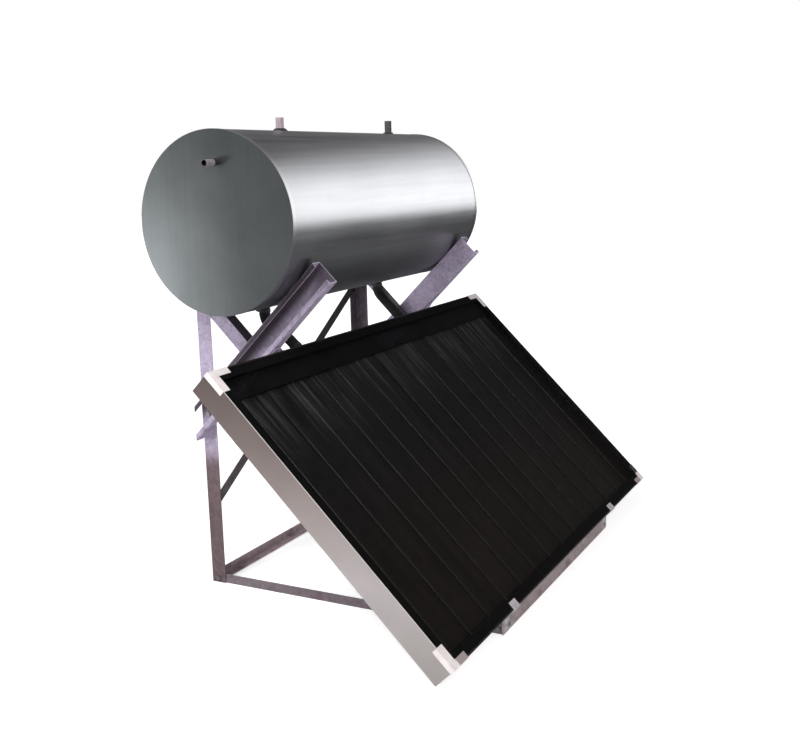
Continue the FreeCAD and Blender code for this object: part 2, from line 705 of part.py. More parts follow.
def header_cover():
    """Black strip above the top header, with a small lip at its lower edge."""
    half = HALF_W - RAIL_WALL
    strip = box(-half, half, COVER_LOW_Y, COVER_HIGH_Y, COVER_TOP - COVER_T, COVER_TOP)
    lip = box(-half, half, COVER_LOW_Y, COVER_LOW_Y + COVER_T, COVER_TOP - COVER_LIP, COVER_TOP)
    return strip.fuse(lip).removeSplitter()


# ---------------------------------------------------------------- tank

def tank_point(x, y=0.0, z=0.0):
    """A point given from the tank's axis."""
    return V(x, TANK_Y + y, TANK_Z + z)


def end_point(x):
    """A point on the centre line of the nipple in the left end."""
    return tank_point(x, END_NIPPLE_SIDE, END_NIPPLE_UP)


def tank_rod(radius, x0, x1):
    return rod(radius, tank_point(x0), tank_point(x1))


def tank_openings():
    """The five pipe holes through jacket and foam, and the boss holes through the foam."""
    pipes = []
    for x in (OUTLET_X, VENT_X):
        pipes.append(rod(NIPPLE_NECK_R, tank_point(x), tank_point(x, 0, TANK_R + 20)))
    for x in (HOSE_LEFT_X, HOSE_RIGHT_X):
        pipes.append(rod(TAIL_R, tank_point(x), tank_point(x, 0, -TANK_R - 20)))
    pipes.append(rod(END_NECK_R, end_point(-TANK_HALF - 5), end_point(-VESSEL_HALF)))
    return pipes


def boss_lines():
    """Each boss: the unit vector out from the tank's axis, and its X."""
    front_x = BASE_HALF + ARM_FLANGE / 2
    rear_x = BASE_HALF - ANGLE_T - ANGLE / 2
    lines = []
    for side in (-1, 1):
        lines.append((FRONT_UP * -1, side * front_x))
        lines.append((REAR_UP * -1, side * rear_x))
    return lines


def tank_bosses():
    """Threaded bosses on the vessel that take the tank's bolts."""
    bosses = []
    for out, x in boss_lines():
        centre = tank_point(x)
        inner = centre + out * (VESSEL_R - 8)
        outer = centre + out * (TANK_R - JACKET_T - 1)
        boss = rod(BOSS_R, inner, outer).cut(tank_rod(VESSEL_R, -TANK_HALF, TANK_HALF))
        bosses.append(boss.cut(rod(BOLT_R, outer - out * BOSS_THREAD, outer)))
    return Part.makeCompound(bosses)


def tank_jacket(openings):
    """Outer sheet, open at both ends."""
    half = TANK_HALF - JACKET_T
    jacket = tank_rod(TANK_R, -half, half).cut(tank_rod(TANK_R - JACKET_T, -half, half))
    for opening in openings:
        jacket = jacket.cut(opening)
    for out, x in boss_lines():
        centre = tank_point(x)
        jacket = jacket.cut(rod(HOLE_R, centre + out * (TANK_R - 10), centre + out * (TANK_R + 10)))
    return jacket


def tank_cover():
    """Right end cover: a disc with a rim over the jacket and a rounded edge."""
    inner = TANK_HALF - COVER_RIM
    cup = tank_rod(TANK_R + RIM_T, inner, TANK_HALF)
    rounded = [edge for edge in cup.Edges if abs(edge.BoundBox.XMax - TANK_HALF) < 0.01]
    rounded = [edge for edge in rounded if edge.BoundBox.XLength < 0.01]
    cup = cup.makeFillet(0.7, rounded)
    return cup.cut(tank_rod(TANK_R, inner - 1, TANK_HALF - JACKET_T))


def tank_foam(openings):
    """Rigid foam: a sleeve around the vessel."""
    half = TANK_HALF - JACKET_T
    foam = tank_rod(TANK_R - JACKET_T, -half, half).cut(tank_rod(VESSEL_R, -half, half))
    for opening in openings:
        foam = foam.cut(opening)
    for out, x in boss_lines():
        centre = tank_point(x)
        foam = foam.cut(rod(BOSS_R, centre + out * (VESSEL_R - 8), centre + out * (TANK_R + 1)))
    return foam


def dome(radius, depth):
    """Half of a flattened ball, its flat side on the right seam of the vessel."""
    ball = Part.makeSphere(radius)
    squeeze = FreeCAD.Matrix()
    squeeze.scale(depth / radius, 1, 1)
    ball = ball.transformGeometry(squeeze)
    ball.translate(tank_point(VESSEL_HALF))
    return ball.common(box(VESSEL_HALF, TANK_HALF, -500, 2000, 0, 2500))


def vessel_head():
    """Right domed head of the vessel."""
    return dome(VESSEL_R, HEAD_DEPTH).cut(dome(VESSEL_R - VESSEL_T, HEAD_DEPTH - VESSEL_T))


def foam_plug():
    """Foam between the right head and its cover."""
    end = TANK_HALF - JACKET_T
    return tank_rod(VESSEL_R, VESSEL_HALF, end).cut(dome(VESSEL_R, HEAD_DEPTH))


def vessel_shell():
    """Pressure vessel's round shell with its pipe holes."""
    shell = tank_rod(VESSEL_R, -VESSEL_HALF, VESSEL_HALF)
    shell = shell.cut(tank_rod(VESSEL_R - VESSEL_T, -VESSEL_HALF, VESSEL_HALF))
    for x in (OUTLET_X, VENT_X):
        shell = shell.cut(rod(NIPPLE_BORE, tank_point(x), tank_point(x, 0, TANK_R)))
    for x in (HOSE_LEFT_X, HOSE_RIGHT_X):
        shell = shell.cut(rod(TAIL_BORE, tank_point(x), tank_point(x, 0, -TANK_R)))
    return shell


def threaded_pipe(radii, start, shoulder, end):
    """Pipe with a plain neck up to the shoulder and a thicker threaded end; radii are neck, thread, bore."""
    neck, thread, bore = radii
    pipe = rod(neck, start, shoulder).fuse(rod(thread, shoulder, end))
    rim = [edge for edge in pipe.Edges if edge.Closed and edge.distToShape(Part.Vertex(end))[0] < thread + 0.01]
    pipe = pipe.makeChamfer(1.0, [edge for edge in rim if edge.Curve.Center.distanceToPoint(end) < 0.01])
    return pipe.cut(rod(bore, start, end))


def top_nipple(x, rise, collar_height):
    """Threaded pipe from the top of the vessel out through the jacket."""
    shoulder = tank_point(x, 0, TANK_R + collar_height + THREAD_CLEAR)
    radii = (NIPPLE_NECK_R, NIPPLE_R, NIPPLE_BORE)
    pipe = threaded_pipe(radii, tank_point(x), shoulder, tank_point(x, 0, TANK_R + rise))
    return pipe.cut(tank_rod(VESSEL_R, -TANK_HALF, TANK_HALF))


def bottom_port(x):
    """Hose tail from the bottom of the vessel out through the jacket."""
    pipe = tube(TAIL_R, TAIL_BORE, tank_point(x), tank_point(x, 0, -TANK_R - TAIL_LEN))
    return pipe.cut(tank_rod(VESSEL_R, -TANK_HALF, TANK_HALF))


def end_nipple():
    """Threaded pipe from the left head out through the left cover."""
    shoulder = end_point(-TANK_HALF - THREAD_CLEAR)
    radii = (END_NECK_R, END_NIPPLE_R, END_NIPPLE_BORE)
    pipe = threaded_pipe(radii, end_point(-VESSEL_HALF), shoulder, end_point(-TANK_HALF - END_NIPPLE_OUT))
    return pipe.cut(mirrored(dome(VESSEL_R, HEAD_DEPTH)))


def on_jacket(ring):
    """A ring around a pipe, shaped to the jacket under it."""
    return ring.cut(tank_rod(TANK_R, -TANK_HALF + COVER_RIM, TANK_HALF - COVER_RIM))


def pipe_collars():
    """The rubber rings where four pipes leave the jacket."""
    rings = []
    for x, foot_r, top_r, height in TOP_COLLARS:
        base = tank_point(x, 0, TANK_R)
        top = tank_point(x, 0, TANK_R + height)
        skirt = rod(foot_r, tank_point(x, 0, TANK_R - 4), base)
        if foot_r > top_r:
            skirt = skirt.fuse(Part.makeCone(foot_r, top_r, height, base))
        else:
            skirt = skirt.fuse(rod(top_r, base, top))
        rings.append(on_jacket(skirt.removeSplitter().cut(rod(NIPPLE_NECK_R, tank_point(x), top))))
    for x in (HOSE_LEFT_X, HOSE_RIGHT_X):
        base = tank_point(x, 0, -TANK_R + 4)
        rings.append(on_jacket(tube(PORT_COLLAR_R, TAIL_R, base, tank_point(x, 0, -TANK_R - 4))))
    return Part.makeCompound(rings)


def anode():
    """Magnesium rod on its plug, screwed into the right head."""
    drop = -ANODE_DROP
    end = VESSEL_HALF + HEAD_DEPTH * 0.7
    body = rod(ANODE_R, tank_point(end - ANODE_LEN, 0, drop), tank_point(end, 0, drop))
    plug = rod(ANODE_R + 5, tank_point(end, 0, drop), tank_point(VESSEL_HALF + HEAD_DEPTH + 6, 0, drop))
    return body.fuse(plug)


def anode_hole():
    """Space that the anode's plug takes in the head and the foam."""
    return rod(ANODE_R + 5, tank_point(VESSEL_HALF, 0, -ANODE_DROP),
               tank_point(VESSEL_HALF + HEAD_DEPTH + 6, 0, -ANODE_DROP))


# ---------------------------------------------------------------- hoses

def hot_route():
    """Corners of the left hose's centre line, from under the tank to the hot port."""
    x = HOSE_LEFT_X
    port_face = slope_point(x, COLLECTOR_L, -HEADER_DEPTH)
    drop = tank_point(x, 0, -TANK_R - 50)
    return [tank_point(x, 0, -TANK_R - 5), drop, port_face + UP_SLOPE * 50, port_face + UP_SLOPE * 4]


def cold_route():
    """Corners of the right hose's centre line: straight down, then along the slope."""
    x = HOSE_RIGHT_X
    port_face = slope_point(x, COLLECTOR_L, -DOWNCOMER_DEPTH)
    corner = port_face + UP_SLOPE * ((TANK_Y - port_face.y) / UP_SLOPE.y)
    return [tank_point(x, 0, -TANK_R - 5), corner, port_face + UP_SLOPE * 4]


def rounded_path(points, reaches):
    """Open wire of straight runs joined by tangent arcs; a reach is the arc's share of its runs."""
    edges = []
    start = points[0]
    for i in range(1, len(points) - 1):
        before = (points[i - 1] - points[i]).normalize()
        after = (points[i + 1] - points[i]).normalize()
        half = before.getAngle(after) / 2
        radius = reaches[i - 1] * math.tan(half)
        centre = points[i] + (before + after).normalize() * (radius / math.sin(half))
        middle = centre + (points[i] - centre).normalize() * radius
        arc_start = points[i] + before * reaches[i - 1]
        arc_end = points[i] + after * reaches[i - 1]
        edges.append(Part.LineSegment(start, arc_start).toShape())
        edges.append(Part.Arc(arc_start, middle, arc_end).toShape())
        start = arc_end
        print("hose arc radius", round(radius, 1))
    edges.append(Part.LineSegment(start, points[-1]).toShape())
    return Part.Wire(edges)


def hose(points, reaches):
    """Rubber hose along its centre line."""
    path = rounded_path(points, reaches)
    axis = points[1] - points[0]
    skin = Part.Wire(Part.makeCircle(HOSE_R, points[0], axis))
    bore = Part.Wire(Part.makeCircle(TAIL_R, points[0], axis))
    solid = path.makePipe(Part.Face(skin)).cut(path.makePipe(Part.Face(bore)))
    section = math.pi * (HOSE_R ** 2 - TAIL_R ** 2)
    ratio = solid.Volume / (section * path.Length)
    print("hose length", round(path.Length, 1), "volume ratio", round(ratio, 4))
    return solid


def hose_clamp(centre, axis):
    """Worm-drive clamp: a band, its housing and its screw."""
    out = V(0, 1, 0) if abs(axis.y) < 0.1 else axis.cross(V(1, 0, 0)).normalize()
    band = tube(HOSE_R + CLAMP_T, HOSE_R, centre - axis * (CLAMP_W / 2), centre + axis * (CLAMP_W / 2))
    housing_centre = centre + out * (HOSE_R + CLAMP_T + 3)
    screw = rod(3.2, housing_centre - V(11, 0, 0), housing_centre + V(9, 0, 0))
    housing = hexagon(housing_centre - V(6, 0, 0), V(1, 0, 0), 8.5, 12)
    outside_hose = rod(HOSE_R, centre - axis * 20, centre + axis * 20)
    return band.fuse([housing, screw]).cut(outside_hose)


def hose_clamps():
    """A clamp at each end of both hoses."""
    clamps = []
    for x, depth in PORTS:
        clamps.append(hose_clamp(tank_point(x, 0, -TANK_R - 13), V(0, 0, 1)))
        clamps.append(hose_clamp(slope_point(x, COLLECTOR_L + 15, -depth), UP_SLOPE))
    return Part.makeCompound(clamps)


# ---------------------------------------------------------------- build

def save_stand():
    holes = drill_holes()
    pairs = {
        "rear_leg": rear_leg(holes), "base_side_bar": base_side_bar(holes),
        "front_arm": front_arm(holes), "rear_arm": rear_arm(holes),
    }
    for name, piece in pairs.items():
        for word, side in SIDES:
            save(name + "_" + word, on_side(piece, side))
    groups = {
        "corner_cleats": corner_cleat(holes), "cradle_spacers": cradle_spacer(holes),
        "collector_hooks": collector_hook(holes), "collector_standoffs": collector_standoff(),
    }
    for name, piece in groups.items():
        save(name, Part.makeCompound([piece, mirrored(piece)]))
    save("base_rear_bar", base_rear_bar(holes))
    save("front_rail", front_rail(holes))
    save("cross_brace", cross_brace(holes))
    bolts, nuts = frame_fasteners()
    save("frame_bolts", bolts)
    save("frame_nuts", nuts)
    save("tank_bolts", tank_fasteners())


def save_collector():
    rails = casing_rails()
    for x, depth in PORTS:
        hole = rod(TAIL_R + 3, V(x, COLLECTOR_L - 5, -depth), V(x, COLLECTOR_L + 5, -depth))
        rails["top"] = rails["top"].cut(hole)
    for word, rail in rails.items():
        save("casing_rail_" + word, tilted(rail))
    for word, bead in glazing_beads().items():
        save("glazing_bead_" + word, tilted(bead))
    caps = [corner_cap(side, at_top) for side in (-1, 1) for at_top in (False, True)]
    save("corner_caps", tilted(Part.makeCompound(caps)))
    glass_low = -BEAD_T - GLASS_T
    save("glass_cover", tilted(panel(GLASS_EDGE, glass_low, -BEAD_T)))
    save("glass_seal", tilted(glass_seal()))
    back_low = -COLLECTOR_H + 1.6
    save("back_sheet", tilted(panel(RAIL_WALL + 0.2, back_low, back_low + BACK_T)))
    save("insulation_board", tilted(insulation_board(back_low + BACK_T)))
    save("absorber_fins", tilted(Part.makeCompound([absorber_fin(x) for x in fin_positions()])))
    save("riser_tubes", tilted(Part.makeCompound([riser(x) for x in fin_positions()])))
    save("header_tube_bottom", tilted(bottom_header()))
    save("header_tube_top", tilted(top_header()))
    save("header_cover", tilted(header_cover()))
    save("hot_port", tilted(hot_port()))
    save("cold_port", tilted(cold_port()))
    save("downcomer", tilted(downcomer()))
    grommets = [port_grommet(x, depth) for x, depth in PORTS]
    save("port_grommets", tilted(Part.makeCompound(grommets)))


def save_tank():
    openings = tank_openings()
    save("tank_jacket", tank_jacket(openings))
    cover = tank_cover()
    save("tank_cover_right", cover)
    save("tank_cover_left", mirrored(cover).cut(openings[-1]))
    save("foam_sleeve", tank_foam(openings))
    plug = foam_plug()
    save("foam_plug_right", plug.cut(anode_hole()))
    save("foam_plug_left", mirrored(plug).cut(openings[-1]))
    save("vessel_shell", vessel_shell())
    head = vessel_head()
    save("vessel_head_right", head.cut(anode_hole()))
    end_bore = rod(END_NIPPLE_BORE, end_point(-TANK_HALF), end_point(-VESSEL_HALF + 5))
    save("vessel_head_left", mirrored(head).cut(end_bore))
    save("hot_outlet_nipple", top_nipple(OUTLET_X, OUTLET_RISE, TOP_COLLARS[0][3]))
    save("vent_nipple", top_nipple(VENT_X, VENT_RISE, TOP_COLLARS[1][3]))
    save("end_nipple", end_nipple())
    save("pipe_collars", pipe_collars())
    save("tank_bosses", tank_bosses())
    save("anode", anode())


def save_hoses():
    save("bottom_port_left", bottom_port(HOSE_LEFT_X))
    save("bottom_port_right", bottom_port(HOSE_RIGHT_X))
    save("hose_left", hose(hot_route(), [29.0, 20.0]))
    save("hose_right", hose(cold_route(), [19.0]))
    save("hose_clamps", hose_clamps())


os.makedirs("parts", exist_ok=True)
save_stand()
save_collector()
save_tank()
save_hoses()
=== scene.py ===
"""Looks of the thermosiphon solar water heater: materials, small details, floor, lights and camera."""
import json
import math

import bpy
from mathutils import Matrix, Quaternion, Vector


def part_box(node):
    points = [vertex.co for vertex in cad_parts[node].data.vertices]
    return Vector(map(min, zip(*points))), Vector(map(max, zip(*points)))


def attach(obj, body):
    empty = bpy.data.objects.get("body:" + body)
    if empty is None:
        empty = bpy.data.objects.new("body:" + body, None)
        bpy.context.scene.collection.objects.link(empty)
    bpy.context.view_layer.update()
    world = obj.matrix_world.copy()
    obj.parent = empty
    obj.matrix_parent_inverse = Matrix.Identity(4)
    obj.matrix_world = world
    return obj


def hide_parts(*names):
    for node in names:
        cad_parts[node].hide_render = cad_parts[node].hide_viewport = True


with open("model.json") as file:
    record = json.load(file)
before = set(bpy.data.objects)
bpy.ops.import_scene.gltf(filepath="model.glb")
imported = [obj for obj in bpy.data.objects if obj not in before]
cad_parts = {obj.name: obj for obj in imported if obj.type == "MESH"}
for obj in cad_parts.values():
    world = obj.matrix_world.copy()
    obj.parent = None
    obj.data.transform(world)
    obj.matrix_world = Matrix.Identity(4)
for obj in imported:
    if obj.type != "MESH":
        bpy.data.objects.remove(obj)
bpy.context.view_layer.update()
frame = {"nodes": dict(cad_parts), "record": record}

NODES = frame["nodes"]
SLOTS = {part["node"]: part["material_slot"] for part in frame["record"]["subparts"]}

# Camera: place, yaw, pitch and roll in degrees, and focal length in millimetres.
CAMERA_AT = (-3.1408, -1.5947, 1.3153)
CAMERA_TURNS = (27.52, 10.86, 1.50)
CAMERA_LENS = 48.22
# Floor: its radius, how far from the middle it fades into the backdrop, and its own faint light.
FLOOR_RADIUS = 30
FLOOR_FADE = 9
FLOOR_GLOW = (0.62, 0.62, 0.62)
FLOOR_GLOW_STRENGTH = 0.9
# Brightness of the studio walls by height: 0 straight down, 0.5 level, 1 straight up.
WALLS = [(0.0, 0.05), (0.42, 0.05), (0.49, 0.14), (0.53, 0.32), (0.62, 0.40), (0.75, 0.40), (1.0, 0.50)]
# Least brightness of the walls, except at the right: in general, and towards the left and back.  Then the
# way that is left and back, how far that way the second one takes over, and where the walls at the right
# lose it.
PALE_USUAL = 0.40
PALE_LEFT_BACK = 0.14
LEFT_BACK_WAY = (-0.89, 0.45)
LEFT_BACK_STARTS = (0.35, 0.75)
PALE_ENDS_RIGHT = (0.80, 0.66)
# A dark flag at the right, above the horizon: its colour, lower edge, near edge and that edge's slant.
FLAG = (0.12, 0.115, 0.12)
FLAG_FOOT = (0.10, 0.26)
FLAG_SIDE = (0.58, 0.74)
FLAG_SLANT = -0.15
# The big softbox: place, shift in its own plane, size and power, and how its brightness fades along its
# width and up its height.
SOFTBOX = ((5.3, -2.9, 2.34), (2.5, 1.2), (9.2, 5.7), 268)
SOFTBOX_ACROSS = [(0.26, 1.0), (0.50, 0.72), (0.64, 0.46), (0.93, 0.0)]
SOFTBOX_UP = [(0.43, 1.0), (0.57, 0.84), (0.76, 0.42), (0.94, 0.05)]
# Painted shade on the casing: its colour by height above the ground, darker towards the top.
CASING_SHADE_BY_HEIGHT = [
    (0.05, (0.42, 0.385, 0.375)), (0.27, (0.51, 0.46, 0.465)), (0.44, (0.355, 0.305, 0.295)),
    (0.60, (0.21, 0.17, 0.16)), (0.76, (0.13, 0.10, 0.093)),
]
# Colours: painted shade on the casing's lips and inner walls, in the arms' channels, on the caps and at a
# pipe's mouth; a darker mark on the caps; painted tank shadow; tarnish; a painted reflection on the absorber;
# rust.
LIP_AND_WALL_SHADE = (0.012, 0.011, 0.011)
CHANNEL_SHADE = (0.045, 0.030, 0.038)
CAP_SHADE = (0.27, 0.225, 0.215)
CAP_SIDE_DARK = (0.03, 0.027, 0.027)
MOUTH_SHADE = (0.05, 0.022, 0.028)
TANK_SHADOW = (0.02, 0.016, 0.02)
TARNISH = (0.335, 0.275, 0.275)
TOP_SHEEN = (0.036, 0.034, 0.037)
RUST = (0.15, 0.10, 0.11)
# Zinc of the arms and legs: dark, light and stain colours, share of stains, and painted shadow near the
# ground.
LILAC_ZINC = ((0.34, 0.285, 0.395), (0.53, 0.46, 0.61), (0.24, 0.18, 0.22), 0.03, (0.36, 0.29, 0.235))
LEFT, RIGHT, UP, DOWN = (-1, 0, 0), (1, 0, 0), (0, 0, 1), (0, 0, -1)
HALF_ROOT = math.sqrt(0.5)
# The collector: up its slope, out of its face, and the turn that lays a pattern along it.
UP_SLOPE = (0, HALF_ROOT, HALF_ROOT)
DOWN_SLOPE = (0, -HALF_ROOT, -HALF_ROOT)
FACE_OUT = (0, -HALF_ROOT, HALF_ROOT)
SLOPE_TURN = (math.radians(45), 0, 0)
# A front arm's upper side faces up the slope, this far from the origin: 1.1581 m as drawn, less the
# 0.5573 m that centring moves it in Y.  Painted shade inside its channel grows between these depths below
# that side, and between these heights above the ground.
ARM_TOP = 1.1581 - 0.5573 * HALF_ROOT
CHANNEL_DEPTHS = (0.048, 0.014)
CHANNEL_HEIGHTS = (0.92, 1.02)
# Lower corner caps: upper edge of the leg along the bottom rail, up the slope, and the start of the
# corner itself, from the middle.
CAP_LEG_TOP = (-0.308, -0.300)
CAP_LEG_INNER = (0.862, 0.870)
# Tarnish on the jacket: the way it faces, and where it grows, from right to left.
TARNISH_WAY = (0, -0.30, 0.954)
TARNISH_ACROSS = (0.15, -0.45)
# Heights between which the absorber turns from warm to cool, and its painted reflection, a paler sheen,
# grows.
ABSORBER_TURNS = (0.15, 0.60)
ABSORBER_SHEEN_HEIGHTS = (0.50, 0.71)
# Size of the patterns that the finishes share: waves per metre, and the worn edge in metres.
FRACTAL_ROUGHNESS = 0.55
ORANGE_PEEL = 500
FLECKS = 120
EDGE_RADIUS = 0.0022
# Each hose: its node, the corners of its centre line (Y, Z) and how far each bend reaches along its runs.
HOSES = [
    (
        "hose_left", [(0.29371, 0.892), (0.29371, 0.847), (0.20780, 0.79984), (0.17527, 0.76731)],
        (0.029, 0.020)),
    ("hose_right", [(0.29371, 0.892), (0.29371, 0.85675), (0.18977, 0.75281)], (0.019,)),
]
HOSE_R = 0.0175
HOSE_BORE = 0.0111
HOSE_SIDES = 40
HOSE_STEP = 0.003
CLAMP_FROM_END = 0.0095
# How far the hose stays inside its CAD radius, then each change of radius: by how much, at what distance
# from the end, and over what reach.  It is nipped in by the clamp, full beside it and rounded at its end.
HOSE_INSET = 0.0006
HOSE_WAVES = [
    (-0.0009, CLAMP_FROM_END, 0.006), (0.0006, CLAMP_FROM_END + 0.010, 0.006), (-0.0012, 0.0, 0.0025),
]
# Threads: pitch, depth as a share of it, steepness of the flanks, sides and rows per turn, and bevels.
THREAD_PITCH = 0.001814
THREAD_DEPTH = 0.62
THREAD_FLANK = 1.25
THREAD_SIDES = 56
ROWS_PER_TURN = 7
TIP_BEVEL = 0.001
BORE_BEVEL = 0.0006
SHARP_ANGLE = math.radians(38)
# Each pipe stub: its node, neck radius, length of its threaded end, bore radius and direction.
STUBS = [
    ("hot_outlet_nipple", 0.012, 0.032, 0.010, UP),
    ("vent_nipple", 0.012, 0.041, 0.010, UP),
    ("end_nipple", 0.0095, 0.041, 0.0075, LEFT),
]
COLLECTOR_SLOTS = {
    "glass", "absorber_black", "bead_black", "header_black", "seal_rubber", "copper_pipe", "cap_light",
    "hook_steel", "casing_aluminium",
}
# Share of light the low-glare glass reflects: 0 seen head on, 1 seen along it.
GLASS_REFLECTION = [(0.0, (0.004,) * 3), (0.55, (0.008,) * 3), (0.80, (0.03,) * 3), (1.0, (0.30,) * 3)]


# ---------------------------------------------------------------- camera, floor and lights

def make_camera():
    """Camera at the viewing angle: from the left, a little above the collector."""
    yaw, pitch, roll = (math.radians(angle) for angle in CAMERA_TURNS)
    level = math.cos(pitch)
    forward = Vector((math.cos(yaw) * level, math.sin(yaw) * level, -math.sin(pitch)))
    right = Vector((math.sin(yaw), -math.cos(yaw), 0))
    down = forward.cross(right)
    turned_right = right * math.cos(roll) + down * math.sin(roll)
    turned_down = down * math.cos(roll) - right * math.sin(roll)
    axes = Matrix((turned_right, -turned_down, -forward)).transposed()
    data = bpy.data.cameras.new("camera")
    data.sensor_width = 36
    data.lens = CAMERA_LENS
    data.clip_end = 100
    camera = bpy.data.objects.new("camera", data)
    camera.matrix_world = Matrix.Translation(CAMERA_AT) @ axes.to_4x4()
    bpy.context.scene.collection.objects.link(camera)
    bpy.context.scene.camera = camera


def area_light(name, place, target, size, power, glossy=True):
    """Rectangular soft light that faces its target."""
    data = bpy.data.lights.new(name, "AREA")
    data.shape = "RECTANGLE"
    data.size, data.size_y = size
    data.energy = power
    light = bpy.data.objects.new(name, data)
    light.location = place
    light.rotation_mode = "QUATERNION"
    light.rotation_quaternion = (Vector(target) - Vector(place)).to_track_quat("-Z", "Y")
    light.visible_glossy = glossy
    bpy.context.scene.collection.objects.link(light)
    return light


def graded_softbox():
    """Large softbox, brightest low down at its near end."""
    place, shift, size, power = SOFTBOX
    softbox = area_light("softbox", place, (0, 0.1, 1.2), size, power)
    softbox.location = Vector(place) + softbox.rotation_quaternion @ Vector((*shift, 0))
    softbox.data.use_nodes = True
    nodes, links = softbox.data.node_tree.nodes, softbox.data.node_tree.links
    geometry = nodes.new("ShaderNodeNewGeometry")
    split = nodes.new("ShaderNodeSeparateXYZ")
    links.new(geometry.outputs["Parametric"], split.inputs[0])
    product = nodes.new("ShaderNodeMath")
    product.operation = "MULTIPLY"
    for slot, (axis, stops) in enumerate((("X", SOFTBOX_ACROSS), ("Y", SOFTBOX_UP))):
        fade = nodes.new("ShaderNodeValToRGB")
        set_ramp(fade, greys(stops))
        links.new(split.outputs[axis], fade.inputs["Fac"])
        links.new(fade.outputs["Color"], product.inputs[slot])
    links.new(product.outputs["Value"], nodes["Emission"].inputs["Strength"])
    return softbox


def shine_only_on(light, nodes):
    """Keeps a light off everything but the given nodes."""
    group = bpy.data.collections.new(light.name + "_receivers")
    for node in nodes:
        group.objects.link(node)
    light.light_linking.receiver_collection = group


def make_world():
    """White backdrop; what the object mirrors is softer, darker near the ground and to the front right."""
    world = bpy.data.worlds.new("studio")
    bpy.context.scene.world = world
    world.use_nodes = True
    tree = world.node_tree
    coordinates = tree.nodes.new("ShaderNodeTexCoord")
    split = tree.nodes.new("ShaderNodeSeparateXYZ")
    tree.links.new(coordinates.outputs["Generated"], split.inputs[0])
    height = spread(tree, split.outputs["Z"], 0.0, 1.0, start=-1.0)
    walls = ramp(tree, height, greys(WALLS))
    left_back = combine(
        tree, "ADD", combine(tree, "MULTIPLY", split.outputs["X"], LEFT_BACK_WAY[0]),
        combine(tree, "MULTIPLY", split.outputs["Y"], LEFT_BACK_WAY[1]))
    turned = window(tree, left_back, *LEFT_BACK_STARTS)
    pale = ramp(tree, turned, greys([(0.0, PALE_USUAL), (1.0, PALE_LEFT_BACK)]))
    away = window(tree, split.outputs["X"], *PALE_ENDS_RIGHT)
    walls = blend(tree, away, walls, combine(tree, "MAXIMUM", walls, pale))
    above = window(tree, split.outputs["Z"], *FLAG_FOOT)
    slanted = combine(tree, "MULTIPLY", split.outputs["Y"], FLAG_SLANT)
    towards = combine(tree, "ADD", split.outputs["X"], slanted)
    flag = combine(tree, "MULTIPLY", above, window(tree, towards, *FLAG_SIDE))
    mirrored = blend(tree, flag, walls, FLAG)
    path = tree.nodes.new("ShaderNodeLightPath")
    seen = blend(tree, path.outputs["Is Camera Ray"], mirrored, (1.0, 1.0, 1.0))
    tree.links.new(seen, tree.nodes["Background"].inputs["Color"])


def make_floor():
    """Large round pale floor that fades to the white of the backdrop."""
    mesh = bpy.data.meshes.new("floor")
    count = 96
    angles = [math.tau * i / count for i in range(count)]
    rim = [(FLOOR_RADIUS * math.cos(angle), FLOOR_RADIUS * math.sin(angle), 0) for angle in angles]
    mesh.from_pydata(rim, [], [list(range(count))])
    floor = bpy.data.objects.new("floor", mesh)
    floor.visible_glossy = False
    bpy.context.scene.collection.objects.link(floor)
    tree = Tree("floor_paint")
    far = tree.nodes.new("ShaderNodeTexGradient")
    far.gradient_type = "SPHERICAL"
    tree.links.new(mapped(tree, (1 / FLOOR_FADE,) * 3), far.inputs["Vector"])
    fade = ramp(tree, far.outputs["Fac"], [(0.35, (1, 1, 1)), (0.85, FLOOR_GLOW)])
    paint = ramp(tree, noise(tree, 40, detail=4), [(0.3, (0.80, 0.80, 0.80)), (0.7, (0.84, 0.84, 0.84))])
    set_surface(tree, color=paint, roughness=0.9)
    shader = tree.nodes["Principled BSDF"]
    tree.links.new(fade, shader.inputs["Emission Color"])
    shader.inputs["Emission Strength"].default_value = FLOOR_GLOW_STRENGTH
    mesh.materials.append(tree.material)


def make_lights():
    """A graded softbox that only the tank and stand mirror, a key light, a glint and two fills."""
    outside = [node for name, node in NODES.items() if SLOTS[name] not in COLLECTOR_SLOTS]
    shine_only_on(graded_softbox(), outside)
    area_light("key", (-2.6, -4.2, 3.6), (0, 0, 0.8), (2.4, 2.4), 120, glossy=False)
    area_light("left_low", (-3.1, 3.6, 0.42), (-0.64, 0.4, 1.1), (1.1, 1.1), 25)
    glint = area_light("glint", (-1.8, -2.2, 3.4), (0, 0, 0.4), (0.6, 0.6), 90)
    glint.data.diffuse_factor = 0
    shine_only_on(glint, [NODES["absorber_fins"]])
    area_light("left_fill", (-3.6, 0.6, 4.2), (0, 0.2, 0.9), (1.6, 1.6), 200, glossy=False)


# ---------------------------------------------------------------- material nodes

class Tree:
    """A new material's node tree, with the material it belongs to."""

    def __init__(self, name):
        self.material = bpy.data.materials.new(name)
        self.material.use_nodes = True
        self.nodes = self.material.node_tree.nodes
        self.links = self.material.node_tree.links


def greys(stops):
    """Stops of (place, brightness) as stops of (place, colour)."""
    return [(place, (value, value, value)) for place, value in stops]


def set_ramp(node, stops):
    """Gives a colour ramp its stops: (place, colour)."""
    elements = node.color_ramp.elements
    while len(elements) < len(stops):
        elements.new(0.5)
    for element, (place, color) in zip(elements, stops):
        element.position = place
        element.color = (*color, 1)


def mapped(tree, scale=(1, 1, 1), turn=(0, 0, 0)):
    """Place on the object in metres, turned back by turn and then scaled."""
    coordinates = tree.nodes.new("ShaderNodeTexCoord")
    mapping = tree.nodes.new("ShaderNodeMapping")
    mapping.vector_type = "TEXTURE"
    mapping.inputs["Scale"].default_value = [1 / factor for factor in scale]
    mapping.inputs["Rotation"].default_value = turn
    tree.links.new(coordinates.outputs["Object"], mapping.inputs["Vector"])
    return mapping.outputs["Vector"]


